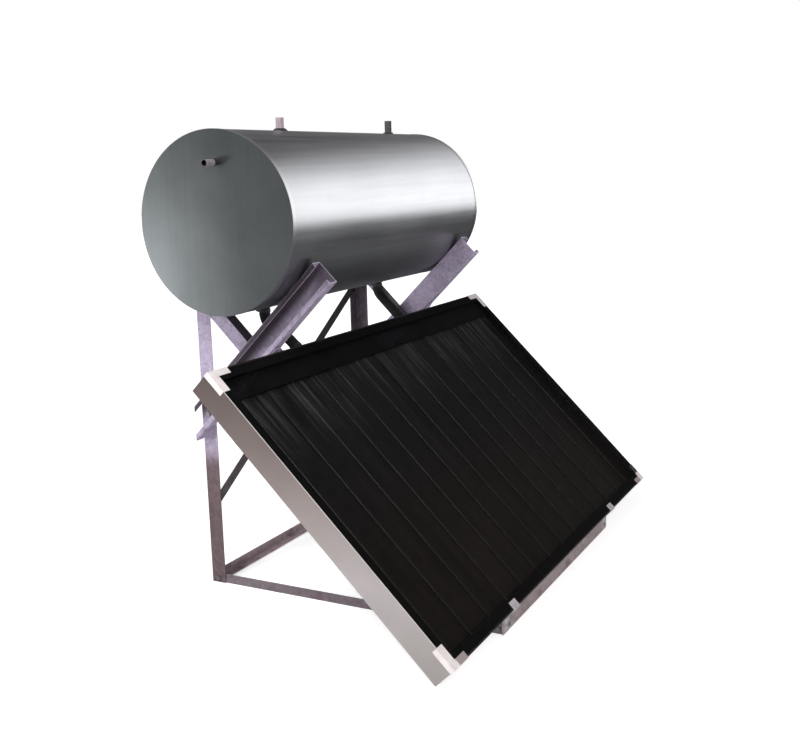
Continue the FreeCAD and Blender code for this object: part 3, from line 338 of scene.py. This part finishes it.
def noise(tree, scale, detail=3, stretch=(1, 1, 1), turn=(0, 0, 0)):
    """Fractal noise, scale in waves per metre."""
    texture = tree.nodes.new("ShaderNodeTexNoise")
    texture.inputs["Scale"].default_value = scale
    texture.inputs["Detail"].default_value = detail
    texture.inputs["Roughness"].default_value = FRACTAL_ROUGHNESS
    tree.links.new(mapped(tree, stretch, turn), texture.inputs["Vector"])
    return texture.outputs["Fac"]


def cells(tree, scale, stretch=(1, 1, 1)):
    """Random grey per crystal cell, scale in cells per metre."""
    texture = tree.nodes.new("ShaderNodeTexVoronoi")
    texture.inputs["Scale"].default_value = scale
    tree.links.new(mapped(tree, stretch), texture.inputs["Vector"])
    split = tree.nodes.new("ShaderNodeSeparateColor")
    tree.links.new(texture.outputs["Color"], split.inputs["Color"])
    return split.outputs["Red"]


def ramp(tree, factor, stops):
    """Colour for a factor, from stops of (place, colour)."""
    node = tree.nodes.new("ShaderNodeValToRGB")
    tree.links.new(factor, node.inputs["Fac"])
    set_ramp(node, stops)
    return node.outputs["Color"]


def spread(tree, factor, low, high, start=0.0):
    """Factor from start to 1 spread over low to high."""
    node = tree.nodes.new("ShaderNodeMapRange")
    node.inputs["From Min"].default_value = start
    node.inputs["To Min"].default_value = low
    node.inputs["To Max"].default_value = high
    tree.links.new(factor, node.inputs["Value"])
    return node.outputs["Result"]


def window(tree, factor, start, end):
    """0 below start, 1 above end, smooth between."""
    node = tree.nodes.new("ShaderNodeMapRange")
    node.interpolation_type = "SMOOTHSTEP"
    node.inputs["From Min"].default_value = start
    node.inputs["From Max"].default_value = end
    tree.links.new(factor, node.inputs["Value"])
    return node.outputs["Result"]


def blend(tree, factor, first, second, kind="MIX"):
    """Mix of two colours; either can be a socket or a colour."""
    node = tree.nodes.new("ShaderNodeMix")
    node.data_type = "RGBA"
    node.blend_type = kind
    for value, socket in ((factor, node.inputs[0]), (first, node.inputs[6]), (second, node.inputs[7])):
        if isinstance(value, bpy.types.NodeSocket):
            tree.links.new(value, socket)
        elif isinstance(value, tuple):
            socket.default_value = (*value, 1)
        else:
            socket.default_value = value
    return node.outputs[2]


def combine(tree, kind, first, second):
    """Arithmetic on two numbers; either can be a socket."""
    node = tree.nodes.new("ShaderNodeMath")
    node.operation = kind
    for value, socket in ((first, node.inputs[0]), (second, node.inputs[1])):
        if isinstance(value, bpy.types.NodeSocket):
            tree.links.new(value, socket)
        else:
            socket.default_value = value
    return node.outputs[0]


def dot_with(tree, vector, direction):
    """Length of a vector along a direction."""
    node = tree.nodes.new("ShaderNodeVectorMath")
    node.operation = "DOT_PRODUCT"
    tree.links.new(vector, node.inputs[0])
    node.inputs[1].default_value = direction
    return node.outputs["Value"]


def height_of(tree):
    """Height above the ground, in metres."""
    return dot_with(tree, mapped(tree), UP)


def edges(tree):
    """1 close to a sharp edge, 0 elsewhere."""
    rounded = tree.nodes.new("ShaderNodeBevel")
    rounded.samples = 6
    rounded.inputs["Radius"].default_value = EDGE_RADIUS
    flat = tree.nodes.new("ShaderNodeNewGeometry")
    agreement = tree.nodes.new("ShaderNodeVectorMath")
    agreement.operation = "DOT_PRODUCT"
    tree.links.new(rounded.outputs["Normal"], agreement.inputs[0])
    tree.links.new(flat.outputs["True Normal"], agreement.inputs[1])
    return window(tree, agreement.outputs["Value"], 0.995, 0.93)


def faces(tree, direction):
    """1 where the surface faces the direction, 0 elsewhere."""
    geometry = tree.nodes.new("ShaderNodeNewGeometry")
    return window(tree, dot_with(tree, geometry.outputs["True Normal"], direction), 0.85, 0.97)


def mixed(tree, *parts):
    """Sum of numbers, each with its share."""
    total = None
    for value, share in parts:
        part = combine(tree, "MULTIPLY", value, share)
        total = part if total is None else combine(tree, "ADD", total, part)
    return total


def set_surface(tree, color, roughness, metallic=0.0, bump=None, bump_depth=0.001, specular=0.5):
    """Connects a finished surface to the material's shader."""
    shader = tree.nodes["Principled BSDF"]
    tree.links.new(color, shader.inputs["Base Color"])
    if isinstance(roughness, bpy.types.NodeSocket):
        tree.links.new(roughness, shader.inputs["Roughness"])
    else:
        shader.inputs["Roughness"].default_value = roughness
    shader.inputs["Metallic"].default_value = metallic
    shader.inputs["Specular IOR Level"].default_value = specular
    if bump is not None:
        node = tree.nodes.new("ShaderNodeBump")
        node.inputs["Distance"].default_value = bump_depth
        node.inputs["Strength"].default_value = 1.0
        tree.links.new(bump, node.inputs["Height"])
        tree.links.new(node.outputs["Normal"], shader.inputs["Normal"])


# ---------------------------------------------------------------- finishes

def galvanised(
        name, dark, light, stain, stain_share, low_shade=(1, 1, 1), high_shade=(1, 1, 1),
        shade_heights=(0.38, 0.47), shaded_channel_way=None, tank_shadowed_way=None):
    """Hot-dip zinc: crystals, clouds, stains, edges lighter with wear and with a painted highlight, and
    painted shade by height.

    The first way given is the way that a channel's inside faces, where painted shade gathers, and the second
    is the way that the side in the tank's shadow faces, which gets painted shadow.
    """
    tree = Tree(name)
    crystals = cells(tree, 95)
    fine = cells(tree, 260)
    clouds = noise(tree, 9, detail=5)
    mottle = mixed(tree, (crystals, 0.45), (fine, 0.2), (clouds, 0.45))
    zinc = ramp(tree, mottle, [(0.25, dark), (0.85, light)])
    patches = window(tree, noise(tree, 14, detail=6), 0.62 - stain_share, 0.80 - stain_share)
    color = blend(tree, combine(tree, "MULTIPLY", patches, 0.75), zinc, stain)
    # Edges lighter: partly bare zinc from wear, partly a painted highlight where the edges catch the light.
    worn_lit_edge = tuple(min(0.9, 1.6 * part) for part in light)
    color = blend(tree, combine(tree, "MULTIPLY", edges(tree), 0.6), color, worn_lit_edge)
    # Painted shade by height: one colour low down, another high up, changing between the heights given.
    tint = blend(tree, window(tree, height_of(tree), *shade_heights), low_shade, high_shade)
    color = blend(tree, 1.0, color, tint, "MULTIPLY")
    # Painted shade inside the channel: deepest under its upper flange, and stronger high up.
    if shaded_channel_way:
        deep, shallow = (ARM_TOP - depth for depth in CHANNEL_DEPTHS)
        corner = window(tree, dot_with(tree, mapped(tree), UP_SLOPE), deep, shallow)
        corner = combine(tree, "MULTIPLY", corner, 0.92)
        upper = spread(tree, window(tree, height_of(tree), *CHANNEL_HEIGHTS), 0.0, 0.82)
        inside = combine(tree, "MULTIPLY", faces(tree, shaded_channel_way), combine(tree, "MAXIMUM", corner, upper))
        color = blend(tree, inside, color, CHANNEL_SHADE)
    # Painted shadow of the tank on the faces that look the given way.
    if tank_shadowed_way:
        color = blend(tree, combine(tree, "MULTIPLY", faces(tree, tank_shadowed_way), 0.85), color, TANK_SHADOW)
    roughness = spread(tree, mottle, 0.34, 0.62)
    grain = combine(tree, "ADD", combine(tree, "MULTIPLY", crystals, 0.3), noise(tree, 600, detail=2))
    set_surface(tree, color, roughness, metallic=0.35, bump=grain, bump_depth=0.00025)
    return tree.material


def rolled_sheet(name, dark, light, low_rough, high_rough, grain_way, streak_share, rim=None, shaded_underside=None):
    """Bright rolled sheet: fine grain and broad streaks one way, and soft unevenness.

    A cover's rim has a painted highlight.  A jacket has painted shade on its underside, which is also
    rougher, and tarnish on top towards the left.
    """
    tree = Tree(name)
    grain = noise(tree, 900, detail=3, stretch=grain_way)
    streaks = noise(tree, 70, detail=4, stretch=grain_way)
    clouds = noise(tree, 3.2, detail=4)
    both = mixed(tree, (grain, 0.2), (clouds, 0.8 - streak_share), (streaks, streak_share))
    color = ramp(tree, both, [(0.3, dark), (0.7, light)])
    # Painted highlight on the rim: the faces that look neither left nor right.
    if rim:
        flat = combine(tree, "ADD", faces(tree, RIGHT), faces(tree, LEFT))
        color = blend(tree, flat, rim, color)
    roughness = spread(tree, both, low_rough, high_rough)
    # Painted shade on the underside: darker and rougher where the surface looks down.
    if shaded_underside:
        geometry = tree.nodes.new("ShaderNodeNewGeometry")
        below = window(tree, dot_with(tree, geometry.outputs["Normal"], DOWN), 0.25, 0.60)
        color = blend(tree, combine(tree, "MULTIPLY", below, 0.55), color, shaded_underside)
        roughness = combine(tree, "ADD", roughness, combine(tree, "MULTIPLY", below, 0.2))
        above = window(tree, dot_with(tree, geometry.outputs["Normal"], TARNISH_WAY), 0.90, 0.98)
        bands = window(tree, noise(tree, 60, detail=3, stretch=(0.03, 1, 1)), 0.46, 0.62)
        leftwards = window(tree, dot_with(tree, mapped(tree), RIGHT), *TARNISH_ACROSS)
        bands = combine(tree, "MULTIPLY", bands, spread(tree, leftwards, 0.10, 0.55))
        color = blend(tree, combine(tree, "MULTIPLY", above, bands), color, TARNISH)
    dents = noise(tree, 3.5, detail=1)
    bump = combine(tree, "ADD", combine(tree, "MULTIPLY", grain, 0.02), dents)
    set_surface(tree, color, roughness, metallic=1.0, bump=bump, bump_depth=0.0007)
    return tree.material


def plain_metal(name, dark, light, low_rough, high_rough, metallic=0.9, mouth=None):
    """Turned or drawn metal with small variation, and painted shade on the faces that a pipe's mouth turns
    to.
    """
    tree = Tree(name)
    fleck = noise(tree, FLECKS, detail=5)
    color = ramp(tree, fleck, [(0.3, dark), (0.7, light)])
    # Painted shade at the pipe's mouth.
    if mouth:
        color = blend(tree, faces(tree, mouth), color, MOUTH_SHADE)
    roughness = spread(tree, fleck, low_rough, high_rough)
    set_surface(tree, color, roughness, metallic=metallic, bump=noise(tree, FLECKS * 5), bump_depth=0.0001)
    return tree.material


def painted(name, dark, light, low_rough, high_rough, scale=60, depth=0.00008, specular=0.5):
    """Paint or powder coat with a faint orange-peel surface."""
    tree = Tree(name)
    clouds = noise(tree, scale, detail=4)
    color = ramp(tree, clouds, [(0.3, dark), (0.7, light)])
    roughness = spread(tree, clouds, low_rough, high_rough)
    bump = noise(tree, ORANGE_PEEL, detail=2)
    set_surface(tree, color, roughness, bump=bump, bump_depth=depth, specular=specular)
    return tree.material


def moulded_caps():
    """Pale moulded corner caps: painted shade on the lower caps' leg along the bottom rail, and darker up the
    lower right side.
    """
    tree = Tree("cap_light")
    clouds = noise(tree, 45, detail=4)
    color = ramp(tree, clouds, [(0.3, (0.58, 0.52, 0.52)), (0.7, (0.70, 0.64, 0.64))])
    up_slope = dot_with(tree, mapped(tree), UP_SLOPE)
    across = dot_with(tree, mapped(tree), RIGHT)
    # Painted shade on the lower caps' leg along the bottom rail.
    low = window(tree, up_slope, *reversed(CAP_LEG_TOP))
    inner = window(tree, combine(tree, "ABSOLUTE", across, 0.0), *reversed(CAP_LEG_INNER))
    color = blend(tree, combine(tree, "MULTIPLY", low, inner), color, CAP_SHADE)
    # Darker on the lower right cap's leg up the side.
    lower_right = combine(tree, "MULTIPLY", window(tree, across, 0.5, 0.6), window(tree, up_slope, 0.1, 0.0))
    side_leg = combine(tree, "MULTIPLY", lower_right, window(tree, up_slope, *CAP_LEG_TOP))
    color = blend(tree, side_leg, color, CAP_SIDE_DARK)
    roughness = spread(tree, clouds, 0.40, 0.58)
    set_surface(tree, color, roughness, bump=noise(tree, ORANGE_PEEL, detail=2), bump_depth=0.00008)
    return tree.material


def absorber():
    """Dark selective coating: uneven sheen along the slope, and a painted reflection, paler in streaks, near
    the top.
    """
    tree = Tree("absorber_coating")
    along = noise(tree, 9, detail=5, stretch=(2.2, 0.25, 1), turn=SLOPE_TURN)
    spots = noise(tree, 38, detail=4)
    both = mixed(tree, (along, 0.6), (spots, 0.4))
    cool = ramp(tree, both, [(0.3, (0.0018, 0.0016, 0.0018)), (0.75, (0.0064, 0.0057, 0.0062))])
    warm = ramp(tree, both, [(0.3, (0.0030, 0.0021, 0.0018)), (0.75, (0.0082, 0.0058, 0.0050))])
    color = blend(tree, window(tree, height_of(tree), *ABSORBER_TURNS), warm, cool)
    # Painted reflection: paler streaks near the top.
    streaks = window(tree, noise(tree, 55, detail=3, stretch=(1, 0.06, 1), turn=SLOPE_TURN), 0.42, 0.78)
    top_sheen_mask = combine(tree, "MULTIPLY", window(tree, height_of(tree), *ABSORBER_SHEEN_HEIGHTS), streaks)
    color = blend(tree, top_sheen_mask, color, TOP_SHEEN)
    roughness = spread(tree, both, 0.30, 0.46)
    dents = combine(tree, "ADD", along, combine(tree, "MULTIPLY", spots, 0.12))
    set_surface(tree, color, roughness, bump=dents, bump_depth=0.0006, specular=0.12)
    return tree.material


def solar_glass():
    """Clear low-glare pane: see-through, with a weak reflection that grows at low angles."""
    tree = Tree("solar_glass")
    tree.nodes.remove(tree.nodes["Principled BSDF"])
    clear = tree.nodes.new("ShaderNodeBsdfTransparent")
    smudge = noise(tree, 4, detail=5)
    tint = ramp(tree, smudge, [(0.3, (0.92, 0.93, 0.92)), (0.7, (0.96, 0.96, 0.96))])
    tree.links.new(tint, clear.inputs["Color"])
    gloss = tree.nodes.new("ShaderNodeBsdfGlossy")
    tree.links.new(spread(tree, smudge, 0.05, 0.14), gloss.inputs["Roughness"])
    facing = tree.nodes.new("ShaderNodeLayerWeight")
    share = ramp(tree, facing.outputs["Facing"], GLASS_REFLECTION)
    mix = tree.nodes.new("ShaderNodeMixShader")
    tree.links.new(share, mix.inputs["Fac"])
    tree.links.new(clear.outputs["BSDF"], mix.inputs[1])
    tree.links.new(gloss.outputs["BSDF"], mix.inputs[2])
    tree.links.new(mix.outputs["Shader"], tree.nodes["Material Output"].inputs["Surface"])
    return tree.material


def hose_rubber():
    """Matte black rubber with a cloth imprint."""
    tree = Tree("hose_rubber")
    weave = cells(tree, 900, stretch=(1, 1, 0.5))
    dust = noise(tree, 25, detail=5)
    color = ramp(tree, dust, [(0.35, (0.004, 0.0037, 0.0042)), (0.8, (0.018, 0.0165, 0.017))])
    roughness = spread(tree, dust, 0.55, 0.75)
    set_surface(tree, color, roughness, bump=weave, bump_depth=0.0002)
    return tree.material


def casing_aluminium(name, lip_light, inside):
    """Extruded aluminium: fine lines along the slope, and painted shade that darkens it towards the top.

    The lip around the glass has painted light of its own, a highlight on the left rail and shade on the
    others, and the wall that faces inside has near-black painted shade.
    """
    tree = Tree(name)
    lines = noise(tree, 500, detail=3, stretch=(1, 0.02, 1), turn=SLOPE_TURN)
    clouds = noise(tree, 7, detail=5)
    both = mixed(tree, (lines, 0.3), (clouds, 0.7))
    # Painted shade: the casing darkens towards the top.
    tone = ramp(tree, height_of(tree), CASING_SHADE_BY_HEIGHT)
    # Painted light on the lip around the glass: a highlight on the left rail, shade on the others.
    tone = blend(tree, faces(tree, FACE_OUT), tone, lip_light)
    color = blend(tree, 1.0, tone, ramp(tree, both, [(0.3, (0.86,) * 3), (0.7, (1.0,) * 3)]), "MULTIPLY")
    # Near-black painted shade on the wall that faces inside.
    color = blend(tree, faces(tree, inside), color, LIP_AND_WALL_SHADE)
    roughness = spread(tree, both, 0.38, 0.58)
    set_surface(tree, color, roughness, metallic=0.4, bump=lines, bump_depth=0.00012)
    return tree.material


def stucco(name, dark, light):
    """Embossed thin sheet."""
    tree = Tree(name)
    grain = noise(tree, 160, detail=1)
    clouds = noise(tree, 6, detail=4)
    color = ramp(tree, clouds, [(0.3, dark), (0.7, light)])
    set_surface(tree, color, spread(tree, clouds, 0.4, 0.6), metallic=0.8, bump=grain, bump_depth=0.0012)
    return tree.material


# Paints and rubbers: dark colour, light colour, least and most roughness, then what differs from the usual.
PAINTS = {
    "bead_black": ((0.0022, 0.0022, 0.0022), (0.005, 0.0046, 0.005), 0.5, 0.62, {"specular": 0.04}),
    "seal_rubber": ((0.012, 0.012, 0.012), (0.026, 0.026, 0.026), 0.6, 0.8, {}),
    "header_black": (
        (0.0022, 0.0022, 0.0024), (0.006, 0.0055, 0.006), 0.5, 0.62,
        {"scale": 12, "specular": 0.04, "depth": 0.00002}),
    "copper_pipe": ((0.006, 0.005, 0.005), (0.016, 0.013, 0.012), 0.4, 0.6, {"scale": 30}),
    "mineral_wool": ((0.010, 0.010, 0.010), (0.024, 0.023, 0.022), 0.85, 0.98, {"depth": 0.003}),
    "rigid_foam": ((0.72, 0.62, 0.36), (0.82, 0.74, 0.5), 0.85, 0.95, {"depth": 0.001}),
    "collar_rubber": ((0.016, 0.015, 0.016), (0.035, 0.034, 0.034), 0.5, 0.7, {}),
    "clamp_steel": ((0.014, 0.014, 0.015), (0.03, 0.03, 0.031), 0.32, 0.5, {"scale": 150}),
}
# Bare metals, described the same way.
METALS = {
    "zinc_fasteners": ((0.38, 0.38, 0.39), (0.52, 0.52, 0.52), 0.28, 0.45, {}),
    "vessel_steel": ((0.40, 0.40, 0.41), (0.50, 0.50, 0.51), 0.35, 0.5, {}),
    "pipe_bright": ((0.52, 0.44, 0.48), (0.72, 0.64, 0.68), 0.28, 0.42, {"metallic": 0.45}),
    "pipe_dark": ((0.13, 0.13, 0.13), (0.21, 0.21, 0.21), 0.35, 0.55, {"metallic": 0.45}),
    "anode_metal": ((0.45, 0.46, 0.45), (0.55, 0.56, 0.55), 0.5, 0.7, {}),
}


def make_finishes():
    """One material per slot of the record."""
    finishes = {}
    for recipe, table in ((painted, PAINTS), (plain_metal, METALS)):
        for name, (dark, light, low_rough, high_rough, extras) in table.items():
            finishes[name] = recipe(name, dark, light, low_rough, high_rough, **extras)
    finishes["galvanised_frame"] = galvanised("galvanised_frame", *LILAC_ZINC)
    finishes["galvanised_base"] = galvanised(
        "galvanised_base", (0.25, 0.20, 0.205), (0.44, 0.37, 0.375), RUST, 0.08)
    finishes["hook_steel"] = galvanised(
        "hook_steel", (0.36, 0.325, 0.345), (0.58, 0.54, 0.56), (0.2, 0.17, 0.17), 0.0)
    # The left rail: a painted highlight on its lip, and painted shade on its inner wall, which faces right.
    finishes["casing_aluminium"] = casing_aluminium("casing_aluminium", (0.80, 0.77, 0.76), RIGHT)
    finishes["cap_light"] = moulded_caps()
    finishes["glass"] = solar_glass()
    finishes["absorber_black"] = absorber()
    finishes["back_aluminium"] = stucco("back_aluminium", (0.36, 0.36, 0.37), (0.46, 0.46, 0.47))
    # The jacket: painted shade on its underside.
    finishes["jacket_steel"] = rolled_sheet(
        "jacket_steel", (0.465, 0.475, 0.495), (0.66, 0.67, 0.695), 0.22, 0.40, (0.03, 1, 1), 0.45,
        shaded_underside=(0.13, 0.136, 0.15))
    # The cover: a painted highlight on its rim.
    finishes["cover_steel"] = rolled_sheet(
        "cover_steel", (0.185, 0.20, 0.206), (0.295, 0.32, 0.327), 0.25, 0.37, (1, 1, 0.03), 0.12,
        rim=(0.62, 0.62, 0.63))
    finishes["hose_rubber"] = hose_rubber()
    return finishes


def dress_nodes(finishes):
    """Gives every CAD node the material of its slot, or its own variant of it."""
    # Painted shade: a darker copy of the base's zinc for the side bars.
    shaded_side_zinc = galvanised("galvanised_side_bars_shaded", (0.17, 0.135, 0.155), (0.25, 0.205, 0.23), RUST, 0.08)
    # Rear arms: painted tank shadow on the faces that look out of the collector's face.
    crossed_zinc = galvanised("galvanised_rear_arms", *LILAC_ZINC, tank_shadowed_way=FACE_OUT)
    variants = {
        # Painted shade: a darker copy of the arms' zinc for the leg in the tank's shadow, browner low down.
        "rear_leg_right": galvanised(
            "galvanised_shaded_leg", (0.085, 0.070, 0.085), (0.17, 0.14, 0.17), (0.07, 0.05, 0.05), 0.05,
            low_shade=(1.0, 0.86, 0.8)),
        # Painted shade: a darker copy of the zinc for the brace, darker still high up under the tank.
        "cross_brace": galvanised(
            "galvanised_brace_shaded", (0.11, 0.095, 0.10), (0.22, 0.19, 0.20), RUST, 0.05,
            high_shade=(0.22, 0.21, 0.21), shade_heights=(0.52, 0.66)),
        # Painted light: a lighter copy of the base's zinc for the rear bar.
        "base_rear_bar": galvanised(
            "galvanised_rear_bar_lit", (0.38, 0.29, 0.31), (0.55, 0.43, 0.46), RUST, 0.08),
        # The top, bottom and right rails: painted shade on their lips and on their inner walls.
        "casing_rail_top": casing_aluminium("casing_top", LIP_AND_WALL_SHADE, DOWN_SLOPE),
        "casing_rail_bottom": casing_aluminium("casing_bottom", LIP_AND_WALL_SHADE, UP_SLOPE),
        "casing_rail_right": casing_aluminium("casing_right", LIP_AND_WALL_SHADE, LEFT),
    }
    for side, outwards in (("left", LEFT), ("right", RIGHT)):
        variants["base_side_bar_" + side] = shaded_side_zinc
        variants["rear_arm_" + side] = crossed_zinc
        # Front arms: painted shade inside the channel, on the faces that look outwards, and painted tank
        # shadow on the side that faces up the slope.
        variants["front_arm_" + side] = galvanised(
            "galvanised_arm_" + side, *LILAC_ZINC, shaded_channel_way=outwards, tank_shadowed_way=UP_SLOPE)
    for name, node in NODES.items():
        node.data.materials.clear()
        node.data.materials.append(variants.get(name, finishes[SLOTS[name]]))


# ---------------------------------------------------------------- hoses and threads

def loft(name, rings, material, node):
    """Closed skin through a loop of rings, in place of a CAD node."""
    count = len(rings[0])
    corners = [corner for ring in rings for corner in ring]
    quads = []
    for i in range(len(rings)):
        here, there = i * count, (i + 1) % len(rings) * count
        for k in range(count):
            after = (k + 1) % count
            quads.append((here + k, here + after, there + after, there + k))
    mesh = bpy.data.meshes.new(name)
    mesh.from_pydata(corners, [], quads)
    mesh.polygons.foreach_set("use_smooth", [True] * len(mesh.polygons))
    mesh.materials.append(material)
    mesh.update()
    mesh.set_sharp_from_angle(angle=SHARP_ANGLE)
    piece = bpy.data.objects.new(name, mesh)
    bpy.context.scene.collection.objects.link(piece)
    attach(piece, "root")
    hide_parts(node)


def bent_line(corners, reaches):
    """Points about a step apart along straight runs joined by round bends, all at one X."""
    points = []
    start = corners[0]
    for i in range(1, len(corners) - 1):
        before = (corners[i - 1] - corners[i]).normalized()
        after = (corners[i + 1] - corners[i]).normalized()
        half = before.angle(after) / 2
        radius = reaches[i - 1] * math.tan(half)
        centre = corners[i] + (before + after).normalized() * (radius / math.sin(half))
        first = corners[i] + before * reaches[i - 1]
        last = corners[i] + after * reaches[i - 1]
        points += straight(start, first)
        turn = (first - centre).rotation_difference(last - centre)
        count = max(2, round(radius * turn.angle / HOSE_STEP))
        for k in range(count):
            points.append(centre + Quaternion().slerp(turn, k / count) @ (first - centre))
        start = last
    return points + straight(start, corners[-1]) + [corners[-1]]


def straight(start, end):
    """Points about a step apart from start up to, but not including, end."""
    count = max(1, round((end - start).length / HOSE_STEP))
    return [start.lerp(end, k / count) for k in range(count)]


def bump_at(place, middle, reach):
    """1 at the middle, falling smoothly to 0 at the reach."""
    share = min(1.0, abs(place - middle) / reach)
    return (1 + math.cos(math.pi * share)) / 2


def hose_radius(place, length):
    """Outer radius along the hose: rounded ends, nipped in under each clamp, full beside it."""
    from_end = min(place, length - place)
    radius = HOSE_R - HOSE_INSET
    for change, middle, reach in HOSE_WAVES:
        radius += change * bump_at(from_end, middle, reach)
    return radius


def make_hoses(finishes):
    """The two rubber hoses, each along its own bent line."""
    angles = [math.tau * k / HOSE_SIDES for k in range(HOSE_SIDES)]
    for node, corners, reaches in HOSES:
        x = sum(corner[0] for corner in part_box(node)) / 2
        line = bent_line([Vector((x, y, z)) for y, z in corners], reaches)
        places = [0.0]
        for before, after in zip(line, line[1:]):
            places.append(places[-1] + (after - before).length)
        side = Vector(RIGHT)
        outer, inner = [], []
        for i, centre in enumerate(line):
            along = (line[min(i + 1, len(line) - 1)] - line[max(i - 1, 0)]).normalized()
            up = along.cross(side)
            spokes = [side * math.cos(angle) + up * math.sin(angle) for angle in angles]
            radius = hose_radius(places[i], places[-1])
            outer.append([centre + spoke * radius for spoke in spokes])
            inner.append([centre + spoke * HOSE_BORE for spoke in spokes])
        loft(node + "_rubber", outer + inner[::-1], finishes[SLOTS[node]], node)


def thread_radius(along, angle, start, end, crest):
    """Radius of a pipe thread that fades out towards its shoulder and its tip."""
    phase = (along / THREAD_PITCH - angle / math.tau) % 1
    depth = THREAD_DEPTH * THREAD_PITCH * min(1.0, abs(2 * phase - 1) * THREAD_FLANK)
    fade = min(1.0, (along - start) / (2 * THREAD_PITCH)) * min(1.0, (end - along) / THREAD_PITCH + 0.5)
    return crest - depth * max(0.0, fade)


def make_threads(finishes):
    """The three pipe stubs with real threads."""
    angles = [math.tau * k / THREAD_SIDES for k in range(THREAD_SIDES)]
    # The end nipple: painted shade at its mouth, which looks left.
    polished = plain_metal(
        "pipe_polished", (0.46, 0.38, 0.42), (0.72, 0.64, 0.68), 0.16, 0.26, metallic=1.0, mouth=LEFT)
    metals = {"end_nipple": polished}
    for node, neck, threaded, bore, out in STUBS:
        low, high = (Vector(corner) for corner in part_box(node))
        out = Vector(out)
        middle = (low + high) / 2
        length = abs((high - low).dot(out))
        crest = min(high.y - low.y, high.z - low.z, high.x - low.x) / 2
        base = middle - out * (length / 2)
        side = out.orthogonal().normalized()
        up = out.cross(side)
        spokes = [side * math.cos(angle) + up * math.sin(angle) for angle in angles]
        start = length - threaded
        rings = [[base + spoke * neck for spoke in spokes]]
        rings.append([base + out * start + spoke * neck for spoke in spokes])
        rows = round(threaded / THREAD_PITCH * ROWS_PER_TURN)
        for row in range(rows + 1):
            along = start + threaded * row / rows
            tip = max(0.0, along - (length - TIP_BEVEL))
            rings.append([
                base + out * along + spoke * (thread_radius(along, angle, start, length, crest) - tip)
                for angle, spoke in zip(angles, spokes)
            ])
        rings.append([base + out * length + spoke * (bore + BORE_BEVEL) for spoke in spokes])
        rings.append([base + out * (length - BORE_BEVEL) + spoke * bore for spoke in spokes])
        rings.append([base + spoke * bore for spoke in spokes])
        loft(node + "_threaded", rings, metals.get(node, finishes[SLOTS[node]]), node)


# ---------------------------------------------------------------- build

make_camera()
make_world()
make_floor()
make_lights()
bpy.context.scene.view_settings.view_transform = "Standard"
FINISHES = make_finishes()
dress_nodes(FINISHES)
make_hoses(FINISHES)
make_threads(FINISHES)
